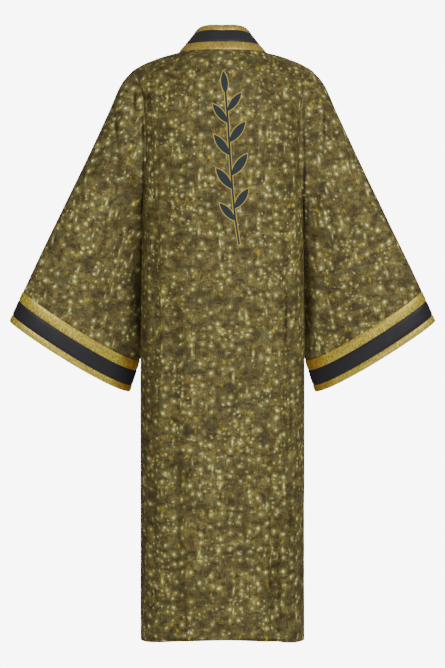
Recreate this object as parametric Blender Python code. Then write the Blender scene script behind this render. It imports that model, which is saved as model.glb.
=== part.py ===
"""A long kimono-style robe in its worn form, with no wearer: a back, two open fronts and two wide sleeves of
printed cloth, and a band of three strips, gold, black and gold, round the neck, down both front edges and
round each cuff. Every panel is a hollow wall of cloth.

Metres, +Z up. The front faces -Y and the wearer's left side is +X. The origin lies midway between the two
shoulder seams, at the height of the sides of the neck, where the wearer's shoulders carry the robe."""

import math
from collections import namedtuple

import bmesh
import bpy
from mathutils import Vector

# Walls and seams
WALL = 0.002
SEAM_GAP = 0.0003

# The striped band, from the strip sewn to the cloth to the strip at the free edge
GOLD_INNER = 0.0235
BLACK_MIDDLE = 0.0365
GOLD_OUTER = 0.0155
BAND_WIDTH = GOLD_INNER + BLACK_MIDDLE + GOLD_OUTER

# The neckline, where the band is sewn on
NECK_HALF_WIDTH = 0.100
NECK_BACK = Vector((0.0, 0.080, -0.003))
NECK_ROUND = 2.2
SHOULDER_Y = -0.005

# Which way the cloth leaves the back of the neckline and the shoulder seam, and how full the curve is
LEAVING_NAPE = Vector((0.0, 0.62, -0.78))
LEAVING_CORNER = Vector((0.62, 0.76, -0.22))
LEAVING_SHOULDER = Vector((0.0, 0.99, -0.12))
YOKE_FULLNESS = 1.15
RELAX_ROUNDS = 4

# The outer columns of a panel crowd together beside the armhole, from this share of its width
CROWD_FROM = 0.4

# Heights of the torso's rows
CHEST_Z = -0.130
UNDERARM_Z = -0.342
HEM_Z = -1.340
HEM_RISE_BACK = 0.012
HEM_DROP_FRONT = 0.008
FLAT_BAND_Z = -0.300

# The torso's section is a superellipse of this power
TORSO_SQUARE = 2.6

# How many rows and columns of faces the panels have
NECK_COLUMNS = 7
SHOULDER_COLUMNS = 9
YOKE_ROWS = 8
ARMHOLE_ROWS = 8
SKIRT_ROWS = 13
SLEEVE_ROWS = 13
FINE_STEPS = 60

# How strongly the rows crowd together towards the underarm and towards the top of the sleeve
UNDERARM_CROWD = 1.6
SLEEVE_CROWD = 1.25

# Edges sharper than this many degrees stay crisp
CRISP_EDGE = 50

# The top of the shoulder, from the side of the neck to the sleeve
ShoulderRow = namedtuple("ShoulderRow", "x z")
SHOULDER_LINE = [
    ShoulderRow(0.100, 0.0000),
    ShoulderRow(0.133, -0.0086),
    ShoulderRow(0.159, -0.0176),
    ShoulderRow(0.181, -0.0270),
    ShoulderRow(0.204, -0.0400),
]

# The torso's sections: the half width at the side seam, and how far back and forward the cloth reaches
TorsoRow = namedtuple("TorsoRow", "z side_x side_y back_y front_y")
TORSO_SECTIONS = [
    TorsoRow(-1.340, 0.187, 0.000, 0.130, -0.136),
    TorsoRow(-1.000, 0.187, 0.000, 0.126, -0.134),
    TorsoRow(-0.700, 0.187, 0.000, 0.123, -0.132),
    TorsoRow(-0.450, 0.185, -0.004, 0.121, -0.130),
    TorsoRow(-0.340, 0.183, -0.008, 0.121, -0.127),
    TorsoRow(-0.240, 0.185, -0.010, 0.121, -0.123),
    TorsoRow(-0.130, 0.190, -0.010, 0.112, -0.108),
]

# The armhole, as how far back and forward it cuts each torso section
ArmholeRow = namedtuple("ArmholeRow", "z back_y front_y")
ARMHOLE = [
    ArmholeRow(-0.342, -0.008, -0.008),
    ArmholeRow(-0.334, 0.012, -0.026),
    ArmholeRow(-0.316, 0.030, -0.043),
    ArmholeRow(-0.288, 0.044, -0.056),
    ArmholeRow(-0.250, 0.052, -0.064),
    ArmholeRow(-0.195, 0.055, -0.066),
    ArmholeRow(-0.130, 0.050, -0.058),
]

# The seam between a front and its band
FrontSeamRow = namedtuple("FrontSeamRow", "z x")
FRONT_SEAM = [
    FrontSeamRow(-1.340, 0.0875),
    FrontSeamRow(-0.450, 0.0875),
    FrontSeamRow(-0.250, 0.0885),
    FrontSeamRow(-0.130, 0.0910),
]

# Which way the neck band stands from its seam. Turn 0 is the middle of the back, 1 the side of the neck,
# 2 the chest row, and from 3 on the band lies on the front's own section.
BandRow = namedtuple("BandRow", "turn x y z")
BAND_STAND = [
    BandRow(0.0, 0.00, -0.60, 0.80),
    BandRow(0.5, -0.34, -0.51, 0.78),
    BandRow(1.0, -0.55, -0.52, 0.62),
    BandRow(1.5, -0.73, -0.44, 0.50),
    BandRow(2.0, -0.93, -0.24, 0.26),
    BandRow(3.0, -1.00, -0.05, 0.00),
]

# The sleeve's rings from the armhole, at share 0, to the cuff, at share 1: the upper edge, which lies on the
# arm, the lower edge, which hangs beside the body, how far the cloth reaches behind and before them, how
# much narrower the ring is below than above, how far it bows away from the body, and how far the back hangs
# lower
RingRow = namedtuple(
    "RingRow", "share upper_x upper_y upper_z lower_x lower_y lower_z behind before tear bow hang"
)
SLEEVE_RINGS = [
    RingRow(0.00, 0.204, -0.005, -0.040, 0.1830, -0.008, -0.342, 0.066, 0.062, 0.30, 0.000, 0.000),
    RingRow(0.08, 0.232, -0.006, -0.073, 0.1885, -0.015, -0.351, 0.064, 0.062, 0.36, 0.022, 0.000),
    RingRow(0.20, 0.259, -0.008, -0.133, 0.1865, -0.042, -0.386, 0.060, 0.060, 0.40, 0.030, 0.003),
    RingRow(0.40, 0.318, -0.015, -0.259, 0.1760, -0.082, -0.476, 0.056, 0.056, 0.40, 0.024, 0.006),
    RingRow(0.60, 0.377, -0.025, -0.377, 0.1730, -0.102, -0.575, 0.050, 0.052, 0.36, 0.014, 0.010),
    RingRow(0.80, 0.436, -0.035, -0.496, 0.1860, -0.106, -0.678, 0.045, 0.048, 0.32, 0.005, 0.012),
    RingRow(1.00, 0.491, -0.045, -0.614, 0.2155, -0.104, -0.778, 0.040, 0.044, 0.30, 0.000, 0.013),
]
HANG_SKEW = 0.30
ARMHOLE_FADE = 0.35

# Soft folds down the torso: where each is at its top and at the hem, how far it stands out (or in), its half
# width, and the heights at which it begins and is at its full depth
FoldRow = namedtuple("FoldRow", "top_x hem_x depth half_width begin_z full_z")
BACK_FOLDS = [
    FoldRow(-0.112, -0.121, -0.012, 0.016, -0.820, -1.250),
    FoldRow(-0.150, -0.158, 0.006, 0.017, -0.850, -1.280),
    FoldRow(0.126, 0.112, -0.006, 0.024, -0.260, -0.600),
    FoldRow(0.020, 0.030, 0.004, 0.045, -0.750, -1.300),
]
FRONT_FOLDS = [
    FoldRow(0.130, 0.124, -0.010, 0.017, -0.420, -1.100),
    FoldRow(-0.138, -0.132, -0.009, 0.018, -0.520, -1.150),
    FoldRow(0.048, 0.044, 0.005, 0.026, -0.700, -1.250),
    FoldRow(-0.052, -0.046, 0.004, 0.028, -0.800, -1.300),
]
FOLD_EDGE = 0.030
HEM_ROUND = 1.5

# Folds along the sleeve, from the shoulder towards the cuff. Round 0 is the upper edge, 0.5 the lower one
# and less than 0.5 the back of the sleeve.
SleeveFoldRow = namedtuple("SleeveFoldRow", "round depth half_width begin end")
SLEEVE_FOLDS = [
    SleeveFoldRow(0.150, -0.0045, 0.028, 0.03, 0.52),
    SleeveFoldRow(0.265, 0.0040, 0.034, 0.05, 0.75),
    SleeveFoldRow(0.750, -0.0040, 0.030, 0.05, 0.60),
]
SLEEVE_FOLD_GROWS = 0.15
SLEEVE_FOLD_FADES = 0.25

# Colours, roughness and metallic value of each material
Finish = namedtuple("Finish", "colour roughness metallic")
PRINTED_CLOTH = Finish((0.175, 0.145, 0.055, 1.0), 0.62, 0.0)
GOLD_CLOTH = Finish((0.385, 0.270, 0.065, 1.0), 0.42, 0.35)
BLACK_CLOTH = Finish((0.032, 0.031, 0.038, 1.0), 0.50, 0.0)


def eased(value):
    """0 below 0, 1 above 1 and a smooth step between."""
    value = min(1.0, max(0.0, value))
    return value * value * (3.0 - 2.0 * value)


def between(start, end, share):
    return start + (end - start) * share


def table_value(rows, column, at):
    """A column of a table at a value of its first column, on a smooth curve through the rows."""
    keys = [row[0] for row in rows]
    values = [getattr(row, column) for row in rows]
    last = len(rows) - 2
    i = max(0, min(last, sum(key <= at for key in keys) - 1))
    span = keys[i + 1] - keys[i]
    share = min(1.0, max(0.0, (at - keys[i]) / span))

    def slope(k):
        low, high = max(0, k - 1), min(len(keys) - 1, k + 1)
        return (values[high] - values[low]) / (keys[high] - keys[low]) * span

    squared, cubed = share * share, share * share * share
    return (
        (2 * cubed - 3 * squared + 1) * values[i]
        + (cubed - 2 * squared + share) * slope(i)
        + (3 * squared - 2 * cubed) * values[i + 1]
        + (cubed - squared) * slope(i + 1)
    )


def lengths_along(points):
    """How far each point lies along the line through them all."""
    total, found = 0.0, [0.0]
    for near, far in zip(points, points[1:]):
        total += (far - near).length
        found.append(total)
    return found


def point_at(points, lengths, wanted):
    """The point that lies this far along a line of points."""
    for i in range(len(points) - 1):
        if wanted <= lengths[i + 1] or i == len(points) - 2:
            step = max(lengths[i + 1] - lengths[i], 1e-9)
            return points[i].lerp(points[i + 1], min(1.0, max(0.0, (wanted - lengths[i]) / step)))
    return points[-1]


def spaced(points, shares):
    """The same line through points at these shares of its length."""
    lengths = lengths_along(points)
    return [point_at(points, lengths, lengths[-1] * share) for share in shares]


def even(count):
    return [i / count for i in range(count + 1)]


def fold_offset(folds, x, z, side_x):
    """How far the torso's cloth stands out at this place, for its folds."""
    out = 0.0
    for fold in folds:
        fall = (fold.begin_z - z) / (fold.begin_z - HEM_Z)
        middle = between(fold.top_x, fold.hem_x, fall)
        strength = eased((fold.begin_z - z) / (fold.begin_z - fold.full_z))
        out += fold.depth * strength * math.exp(-(((x - middle) / fold.half_width) ** 2))
    return out * eased((side_x - abs(x)) / FOLD_EDGE)


def torso_section(z, side, behind):
    """The torso's cloth at a height, from the centre line to the side seam on one side."""
    side_x = table_value(TORSO_SECTIONS, "side_x", z)
    side_y = table_value(TORSO_SECTIONS, "side_y", z)
    reach_y = table_value(TORSO_SECTIONS, "back_y" if behind else "front_y", z)
    folds = BACK_FOLDS if behind else FRONT_FOLDS
    outward = 1.0 if behind else -1.0
    points = []
    for i in range(FINE_STEPS + 1):
        angle = math.pi / 2 * i / FINE_STEPS
        x = side_x * math.sin(angle) ** (2 / TORSO_SQUARE)
        y = side_y + (reach_y - side_y) * max(0.0, math.cos(angle)) ** (2 / TORSO_SQUARE)
        y += outward * fold_offset(folds, side * x, z, side_x)
        points.append(Vector((side * x, y, z)))
    return points


def cut_beyond(points, measure, limit):
    """The first part of a line, up to where a measure of its points passes a limit."""
    kept = points[:1]
    for near, far in zip(points, points[1:]):
        if measure(far) > limit:
            share = (limit - measure(near)) / (measure(far) - measure(near))
            return kept + [near.lerp(far, share)]
        kept.append(far)
    return kept


def from_centre(point):
    return abs(point.x)


def cut_at_armhole(points, z, behind):
    """The torso section without the part that belongs to the sleeve."""
    if z <= UNDERARM_Z:
        return points
    if behind:
        return cut_beyond(points, lambda point: -point.y, -table_value(ARMHOLE, "back_y", z))
    return cut_beyond(points, lambda point: point.y, table_value(ARMHOLE, "front_y", z))


def hemmed(points, behind):
    """The torso section moved up or down towards the hem, which is not level."""
    side_x = table_value(TORSO_SECTIONS, "side_x", points[0].z)
    fall = eased((UNDERARM_Z - points[0].z) / (UNDERARM_Z - HEM_Z))
    lift = (HEM_RISE_BACK if behind else -HEM_DROP_FRONT) * fall
    return [
        point + Vector((0, 0, lift * max(0.0, 1 - (point.x / side_x) ** 2) ** HEM_ROUND))
        for point in points
    ]


def row_heights():
    """The heights of the torso's rows, from the chest to the hem."""
    armhole = [
        CHEST_Z + (UNDERARM_Z - CHEST_Z) * (1 - (1 - i / ARMHOLE_ROWS) ** UNDERARM_CROWD)
        for i in range(ARMHOLE_ROWS)
    ]
    skirt = [between(UNDERARM_Z, HEM_Z, i / SKIRT_ROWS) for i in range(SKIRT_ROWS + 1)]
    return armhole + skirt


def shoulder_seam(side):
    start, end = SHOULDER_LINE[0].x, SHOULDER_LINE[-1].x
    line = []
    for i in range(FINE_STEPS + 1):
        x = between(start, end, i / FINE_STEPS)
        z = -table_value([ShoulderRow(row.x, -row.z) for row in SHOULDER_LINE], "z", x)
        line.append(Vector((side * x, SHOULDER_Y, z)))
    return spaced(line, even(SHOULDER_COLUMNS))


def back_neckline(side):
    """The back half of the neckline, from the middle of the back to the side of the neck."""
    line = []
    for i in range(FINE_STEPS + 1):
        angle = math.pi / 2 * i / FINE_STEPS
        across = math.sin(angle) ** (2 / NECK_ROUND)
        back = max(0.0, math.cos(angle)) ** (2 / NECK_ROUND)
        line.append(
            Vector(
                (
                    side * NECK_HALF_WIDTH * across,
                    between(SHOULDER_Y, NECK_BACK.y, back),
                    NECK_BACK.z * back,
                )
            )
        )
    return spaced(line, even(NECK_COLUMNS))


def over_shoulder(top, chest, leaving, share):
    """A point on the smooth curve that leaves the top edge one way and comes to the chest row downwards."""
    reach = (chest - top).length
    squared, cubed = share * share, share * share * share
    return (
        top * (2 * cubed - 3 * squared + 1)
        + leaving.normalized() * reach * YOKE_FULLNESS * (cubed - 2 * squared + share)
        + chest * (3 * squared - 2 * cubed)
        + Vector((0, 0, -reach)) * (cubed - squared)
    )


def relaxed(rows):
    """The yoke with its inner points evened out between their neighbours. Its edges stay where they are."""
    rows = [[point.copy() for point in row] for row in rows]
    for _ in range(RELAX_ROUNDS):
        before = [[point.copy() for point in row] for row in rows[: YOKE_ROWS + 1]]
        for i in range(1, YOKE_ROWS):
            for j in range(1, len(rows[i]) - 1):
                beside = before[i][j - 1] + before[i][j + 1] + before[i - 1][j] + before[i + 1][j]
                rows[i][j] = before[i][j].lerp(beside / 4, 0.5)
    return rows


def yoke_rows(top_row, chest_row, leaving):
    """The rows from the top edge to just above the chest row."""
    return [
        [
            over_shoulder(top, chest, way, row / YOKE_ROWS)
            for top, chest, way in zip(top_row, chest_row, leaving)
        ]
        for row in range(YOKE_ROWS)
    ]


def across(whole, cut, shares):
    """Shares of a cut line that keep each column in line with the whole line's, and only crowd the outer
    columns where the line is shorter."""
    ratio = lengths_along(cut)[-1] / lengths_along(whole)[-1]
    kept = [share * (1 - (1 - ratio) * eased((share - CROWD_FROM) / (1 - CROWD_FROM))) for share in shares]
    return [share / kept[-1] for share in kept]


def back_half(side):
    """Rows of points over one half of the back, each from the middle of the back outwards."""
    columns = even(NECK_COLUMNS + SHOULDER_COLUMNS)
    skirt = []
    for z in row_heights():
        whole = torso_section(z, side, True)
        cut = cut_at_armhole(whole, z, True)
        skirt.append(spaced(hemmed(cut, True), across(whole, cut, columns)))
    neckline = back_neckline(side)
    seam = shoulder_seam(side)
    leaving = []
    for i in range(NECK_COLUMNS):
        turn = i / NECK_COLUMNS
        leaving.append(LEAVING_NAPE.lerp(LEAVING_CORNER, turn))
    for i in range(SHOULDER_COLUMNS + 1):
        leaving.append(LEAVING_CORNER.lerp(LEAVING_SHOULDER, eased(2 * i / SHOULDER_COLUMNS)))
    for way in leaving:
        way.x *= side
    return relaxed(yoke_rows(neckline + seam[1:], skirt[0], leaving) + skirt)


def front_half(side):
    """Rows of points over one front, each from the band's seam outwards."""
    columns = even(SHOULDER_COLUMNS)
    skirt = []
    for z in row_heights():
        seam_x = table_value(FRONT_SEAM, "x", z)
        section = torso_section(z, side, False)
        whole = cut_beyond(section[::-1], lambda point: -abs(point.x), -seam_x)[::-1]
        cut = cut_at_armhole(whole, z, False)
        skirt.append(spaced(hemmed(cut, False), across(whole, cut, columns)))
    forwards = Vector((0, -LEAVING_SHOULDER.y, LEAVING_SHOULDER.z))
    return relaxed(yoke_rows(shoulder_seam(side), skirt[0], [forwards] * len(columns)) + skirt)


def band_lines():
    """How far the lines along the band lie from its seam. The black strip has one more in its middle."""
    return [
        0.0,
        GOLD_INNER,
        GOLD_INNER + BLACK_MIDDLE / 2,
        GOLD_INNER + BLACK_MIDDLE,
        BAND_WIDTH,
    ]


def band_station(seam_point, turn, side, height):
    """The points across the neck band at one place along its seam, for this height of the torso."""
    stand = Vector([table_value(BAND_STAND, axis, min(turn, 3.0)) for axis in "xyz"]).normalized()
    stand.x *= side
    standing = [seam_point + stand * width for width in band_lines()]
    if turn <= 2.0:
        return standing
    section = hemmed(torso_section(height, side, False), False)
    flat_line = cut_beyond(section, from_centre, abs(seam_point.x))[::-1]
    lengths = lengths_along(flat_line)
    flat = [point_at(flat_line, lengths, width) for width in band_lines()]
    share = eased(turn - 2.0)
    return [seam_point] + [up.lerp(down, share) for up, down in zip(standing[1:], flat[1:])]


def neck_band(fronts):
    """The whole band as stations from the right hem, round the neck, to the left hem."""

    def half(side):
        neckline = back_neckline(side)
        stations = [
            band_station(point, i / NECK_COLUMNS, side, point.z) for i, point in enumerate(neckline)
        ]
        for i in range(1, YOKE_ROWS):
            point = fronts[side][i][0]
            stations.append(band_station(point, 1.0 + i / YOKE_ROWS, side, point.z))
        for height, row in zip(row_heights(), fronts[side][YOKE_ROWS:]):
            turn = 2.0 + (CHEST_Z - height) / (CHEST_Z - FLAT_BAND_Z)
            stations.append(band_station(row[0], turn, side, height))
        return stations

    return half(-1)[:0:-1] + half(1)


def sleeve_ring_point(ring_share, turn, side):
    """A point of the sleeve's own ring, before it is fitted to the armhole. Turn runs once round from the
    upper edge over the back of the sleeve."""
    ring = {
        column: table_value(SLEEVE_RINGS, column, ring_share) for column in RingRow._fields[1:]
    }
    upper = Vector((ring["upper_x"], ring["upper_y"], ring["upper_z"]))
    lower = Vector((ring["lower_x"], ring["lower_y"], ring["lower_z"]))
    angle = 2 * math.pi * turn
    along = math.cos(angle)
    out = math.sin(angle) * (1.0 + ring["tear"] * along)
    reach = ring["behind"] if out > 0 else ring["before"]
    depth = out * reach
    depth += math.copysign(sleeve_fold(ring_share, turn), out)
    chord = upper - lower
    outward = Vector((chord.z, 0.0, -chord.x)).normalized()
    point = (upper + lower) / 2 + chord / 2 * along + Vector((0.0, depth, 0.0))
    point += outward * ring["hang"] * math.sin(angle) * (1.0 - HANG_SKEW * along)
    point += outward * ring["bow"] * abs(math.sin(angle)) * (1.0 - along) / 2
    point.x *= side
    return point


def sleeve_fold(ring_share, turn):
    """How far the sleeve stands out at this place, for its folds."""
    out = 0.0
    for fold in SLEEVE_FOLDS:
        strength = eased((ring_share - fold.begin) / SLEEVE_FOLD_GROWS)
        strength *= eased((fold.end - ring_share) / SLEEVE_FOLD_FADES)
        out += fold.depth * strength * math.exp(-(((turn - fold.round) / fold.half_width) ** 2))
    return out


def armhole_loop(back, front):
    """The armhole from the shoulder down the back, under the arm and up the front."""
    last = YOKE_ROWS + ARMHOLE_ROWS
    return [row[-1] for row in back[: last + 1]] + [row[-1] for row in front[last - 1 : 0 : -1]]


def sleeve_rows(loop, side):
    """Rings of points from the armhole to the cuff edge. The last rings are the lines of the cuff band."""
    columns = len(loop)
    lengths = lengths_along(loop + loop[:1])
    half = columns // 2
    turns = [
        0.5 * lengths[i] / lengths[half]
        if i <= half
        else 0.5 + 0.5 * (lengths[i] - lengths[half]) / (lengths[-1] - lengths[half])
        for i in range(columns)
    ]
    band = [BAND_WIDTH - width for width in band_lines()]
    paths = []
    for start, turn in zip(loop, turns):
        misfit = start - sleeve_ring_point(0.0, turn, side)
        path = [
            sleeve_ring_point(i / FINE_STEPS, turn, side)
            + misfit * (1.0 - eased(i / FINE_STEPS / ARMHOLE_FADE))
            for i in range(FINE_STEPS + 1)
        ]
        reached = lengths_along(path)
        cloth = reached[-1] - BAND_WIDTH
        marks = [cloth * (i / SLEEVE_ROWS) ** SLEEVE_CROWD for i in range(SLEEVE_ROWS)]
        marks += [reached[-1] - width for width in band]
        paths.append([point_at(path, reached, mark) for mark in marks])
    return [list(ring) for ring in zip(*paths)]


def mirrored_rows(right, left):
    """Full rows from the two halves of a panel, which share the points of the centre line."""
    return [row_right[:0:-1] + row_left for row_right, row_left in zip(right, left)]


def key_of(point):
    return tuple(round(value, 6) for value in point)


def corner_normals(corners):
    """The normal at each corner of a face, as long as the corner's angle."""
    found = []
    for i, corner in enumerate(corners):
        after = corners[(i + 1) % 4] - corner
        before = corners[i - 1] - corner
        found.append(after.cross(before).normalized() * after.angle(before))
    return found


def shared_normals(surfaces):
    """Outward normals by place. Points on a seam get one normal from all the panels that meet there."""
    found = {}
    for grid, around, inside in surfaces:
        own = []
        columns = len(grid[0]) if around else len(grid[0]) - 1
        for i in range(len(grid) - 1):
            for j in range(columns):
                following = (j + 1) % len(grid[0])
                corners = [grid[i][j], grid[i][following], grid[i + 1][following], grid[i + 1][j]]
                own += zip(corners, corner_normals(corners))
        middle, normal = own[len(own) // 2]
        sign = 1.0 if normal.dot(middle - inside) > 0 else -1.0
        for point, normal in own:
            key = key_of(point)
            found[key] = found.get(key, Vector()) + normal * sign
    return {key: normal.normalized() for key, normal in found.items()}


def seam_shifts(edge, inner, around, normals):
    """Half a seam gap for each point of an edge, square to the seam and to the wall's rim, and towards the
    panel's own next line of points."""
    count = len(edge)
    shifts = []
    for i, (point, beside) in enumerate(zip(edge, inner)):
        before = edge[i - 1] if i > 0 or around else point
        after = edge[(i + 1) % count] if i < count - 1 or around else point
        square = (after - before).cross(normals[key_of(point)]).normalized()
        away = -1.0 if square.dot(beside - point) < 0 else 1.0
        shifts.append(square * away * SEAM_GAP / 2)
    return shifts


def drawn_in(grid, seams, around, normals):
    """The same grid with its seam edges moved in by half a seam gap."""
    moved = [[point.copy() for point in row] for row in grid]
    last = len(grid) - 1
    rows = {"first_row": (0, 1), "last_row": (last, last - 1)}
    columns = {"first_column": (0, 1), "last_column": (-1, -2)}
    for seam in seams:
        if seam in rows:
            edge, inner = rows[seam]
            for j, shift in enumerate(seam_shifts(grid[edge], grid[inner], around, normals)):
                moved[edge][j] += shift
        else:
            edge, inner = columns[seam]
            edge_line, inner_line = [row[edge] for row in grid], [row[inner] for row in grid]
            for i, shift in enumerate(seam_shifts(edge_line, inner_line, False, normals)):
                moved[i][edge] += shift
    return moved


def sew_wall(name, grid, seams, normals, material, collection, around=False):
    """One closed wall of cloth: the outer face through the grid's points, the inner face a wall's thickness
    inside it, and a rim along every open edge."""
    shown = drawn_in(grid, seams, around, normals)
    rows, columns = len(grid), len(grid[0])
    bm = bmesh.new()
    outer = [[bm.verts.new(shown[i][j]) for j in range(columns)] for i in range(rows)]
    inner = [
        [bm.verts.new(shown[i][j] - normals[key_of(grid[i][j])] * WALL) for j in range(columns)]
        for i in range(rows)
    ]
    steps = [(j, (j + 1) % columns) for j in range(columns if around else columns - 1)]
    for i in range(rows - 1):
        for j, k in steps:
            bm.faces.new((outer[i][j], outer[i][k], outer[i + 1][k], outer[i + 1][j]))
            bm.faces.new((inner[i][j], inner[i + 1][j], inner[i + 1][k], inner[i][k]))
    rims = [[(outer[i][j], inner[i][j]) for j in range(columns)] for i in (0, rows - 1)]
    if around:
        rims = [rim + rim[:1] for rim in rims]
    else:
        rims += [[(outer[i][j], inner[i][j]) for i in range(rows)] for j in (0, columns - 1)]
    for rim in rims:
        for (out_near, in_near), (out_far, in_far) in zip(rim, rim[1:]):
            bm.faces.new((out_near, out_far, in_far))
            bm.faces.new((out_near, in_far, in_near))
    bmesh.ops.recalc_face_normals(bm, faces=bm.faces)
    mesh = bpy.data.meshes.new(name)
    bm.to_mesh(mesh)
    bm.free()
    mesh.shade_smooth()
    mesh.set_sharp_from_angle(angle=math.radians(CRISP_EDGE))
    mesh.materials.append(material)
    piece = bpy.data.objects.new(name, mesh)
    collection.objects.link(piece)
    return piece


def make_material(name, finish):
    material = bpy.data.materials.new(name)
    material.use_nodes = True
    shader = material.node_tree.nodes["Principled BSDF"]
    shader.inputs["Base Color"].default_value = finish.colour
    shader.inputs["Roughness"].default_value = finish.roughness
    shader.inputs["Metallic"].default_value = finish.metallic
    return material


def strips_of(grid, names, materials):
    """The three strips of a band, from five lines of points across it: name, lines and material of each."""
    cuts = ((0, 1), (1, 3), (3, 4))
    return [
        (name, grid[start : end + 1], material)
        for name, (start, end), material in zip(names, cuts, materials)
    ]


def clear_scene():
    for thing in list(bpy.data.objects):
        bpy.data.objects.remove(thing)


def build_robe():
    collection = bpy.data.collections.new("kimono")
    bpy.context.scene.collection.children.link(collection)
    printed = make_material("printed_cloth", PRINTED_CLOTH)
    gold = make_material("gold_cloth", GOLD_CLOTH)
    black = make_material("black_cloth", BLACK_CLOTH)
    sides = {"left": 1, "right": -1}

    backs = {side: back_half(side) for side in sides.values()}
    fronts = {side: front_half(side) for side in sides.values()}
    back = mirrored_rows(backs[-1], backs[1])
    stations = neck_band(fronts)
    sleeves = {
        side: sleeve_rows(armhole_loop(backs[side], fronts[side]), side) for side in sides.values()
    }

    surfaces = [(back, False, Vector((0, 0, back[len(back) // 2][0].z)))]
    surfaces += [(rows, False, Vector((0, 0, rows[len(rows) // 2][0].z))) for rows in fronts.values()]
    surfaces.append((stations, False, Vector((0, 0, -0.1))))
    for rows in sleeves.values():
        ring = rows[len(rows) // 2]
        surfaces.append((rows, True, sum(ring, Vector()) / len(ring)))
    normals = shared_normals(surfaces)

    sew_wall(
        "back",
        back,
        ("first_row", "first_column", "last_column"),
        normals,
        printed,
        collection,
    )
    for word, side in sides.items():
        sew_wall(
            f"front_{word}",
            fronts[side],
            ("first_row", "first_column", "last_column"),
            normals,
            printed,
            collection,
        )
        sew_wall(
            f"sleeve_{word}",
            sleeves[side][: SLEEVE_ROWS + 1],
            ("first_row", "last_row"),
            normals,
            printed,
            collection,
            around=True,
        )
        names = [f"cuff_{place}_{word}" for place in ("gold_inner", "black", "gold_outer")]
        for name, rows, material in strips_of(sleeves[side][SLEEVE_ROWS:], names, (gold, black, gold)):
            seams = ("first_row",) if name.startswith("cuff_gold_outer") else ("first_row", "last_row")
            sew_wall(name, rows, seams, normals, material, collection, around=True)

    lines = [list(line) for line in zip(*stations)]
    names = ["neck_gold_inner", "neck_black", "neck_gold_outer"]
    for name, rows, material in strips_of(lines, names, (gold, black, gold)):
        seams = ("first_row",) if name == "neck_gold_outer" else ("first_row", "last_row")
        sew_wall(name, rows, seams, normals, material, collection)


clear_scene()
build_robe()
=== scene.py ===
"""The looks of a long kimono-style robe, filled out with no wearer: olive printed cloth, and a band of three
strips, gold, black and gold, round the neck, down both front edges and round each cuff.

Metres, +Z up. The front faces -Y and the wearer's left side is +X. The camera stands behind the robe."""

import math
from collections import namedtuple
from functools import reduce

import bmesh
import bpy
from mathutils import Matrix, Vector, noise


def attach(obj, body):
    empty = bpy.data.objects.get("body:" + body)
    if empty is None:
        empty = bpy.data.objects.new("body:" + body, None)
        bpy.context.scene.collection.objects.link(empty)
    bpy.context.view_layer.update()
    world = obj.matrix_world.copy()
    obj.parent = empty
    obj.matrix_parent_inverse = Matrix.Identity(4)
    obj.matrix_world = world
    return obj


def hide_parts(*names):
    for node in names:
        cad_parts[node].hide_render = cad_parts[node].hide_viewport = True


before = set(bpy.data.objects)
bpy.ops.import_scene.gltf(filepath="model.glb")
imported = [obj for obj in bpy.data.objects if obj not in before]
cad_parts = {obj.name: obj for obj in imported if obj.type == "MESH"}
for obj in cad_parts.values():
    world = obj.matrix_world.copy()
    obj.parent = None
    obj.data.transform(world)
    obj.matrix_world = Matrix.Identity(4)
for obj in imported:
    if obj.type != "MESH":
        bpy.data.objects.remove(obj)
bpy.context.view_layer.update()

# The camera

CAMERA_PLACE = Vector((0.0, 5.0, -0.645))
CAMERA_LENS = 117.8
SENSOR_WIDTH = 36.0


def put(name, data):
    """A new object in the scene, at the origin."""
    made = bpy.data.objects.new(name, data)
    bpy.context.scene.collection.objects.link(made)
    return made


def set_camera():
    """The camera behind the robe, level, with the photo's view."""
    data = bpy.data.cameras.new("camera")
    data.lens = CAMERA_LENS
    data.sensor_width = SENSOR_WIDTH
    camera = put("camera", data)
    camera.location = CAMERA_PLACE
    camera.rotation_euler = (math.radians(90), 0.0, math.radians(180))
    bpy.context.scene.camera = camera


set_camera()


# The robe's sizes, the same as the solids'

# The striped band, from the strip sewn to the cloth to the strip at the free edge
GOLD_INNER = 0.0235
BLACK_MIDDLE = 0.0365
GOLD_OUTER = 0.0155
BAND_WIDTH = GOLD_INNER + BLACK_MIDDLE + GOLD_OUTER

# The neckline, where the band is sewn on
NECK_HALF_WIDTH = 0.100
NECK_BACK = Vector((0.0, 0.080, -0.003))
NECK_ROUND = 2.2
SHOULDER_Y = -0.005

# Which way the cloth leaves the back of the neckline and the shoulder seam, how full the curve is, and in
# how many rounds it is evened out
LEAVING_NAPE = Vector((0.0, 0.62, -0.78))
LEAVING_CORNER = Vector((0.62, 0.76, -0.22))
LEAVING_SHOULDER = Vector((0.0, 0.99, -0.12))
YOKE_FULLNESS = 1.15
RELAX_ROUNDS = 4

# The outer columns of a panel crowd together beside the armhole, from this share of its width
CROWD_FROM = 0.4

# Heights of the torso's rows
CHEST_Z = -0.130
UNDERARM_Z = -0.342
HEM_Z = -1.340

# How far the hem rises at the middle of the back and drops towards the front edges
HEM_RISE_BACK = 0.012
HEM_DROP_FRONT = 0.008

# Below this height the neck band lies on the front's own section
FLAT_BAND_Z = -0.300

# The torso's section is a superellipse of this power
TORSO_SQUARE = 2.6

# How many rows and columns of faces the panels have
NECK_COLUMNS = 7
SHOULDER_COLUMNS = 9
YOKE_ROWS = 8
ARMHOLE_ROWS = 8
SKIRT_ROWS = 13
SLEEVE_ROWS = 13

# How many steps a section's line and a sleeve's length are worked out in
FINE_STEPS = 120
SLEEVE_STEPS = 240

# Edges sharper than this, in degrees, stay crisp
CRISP_EDGE = 50

# How strongly the rows crowd together towards the underarm and towards the top of the sleeve
UNDERARM_CROWD = 1.6
SLEEVE_CROWD = 1.25

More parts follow.
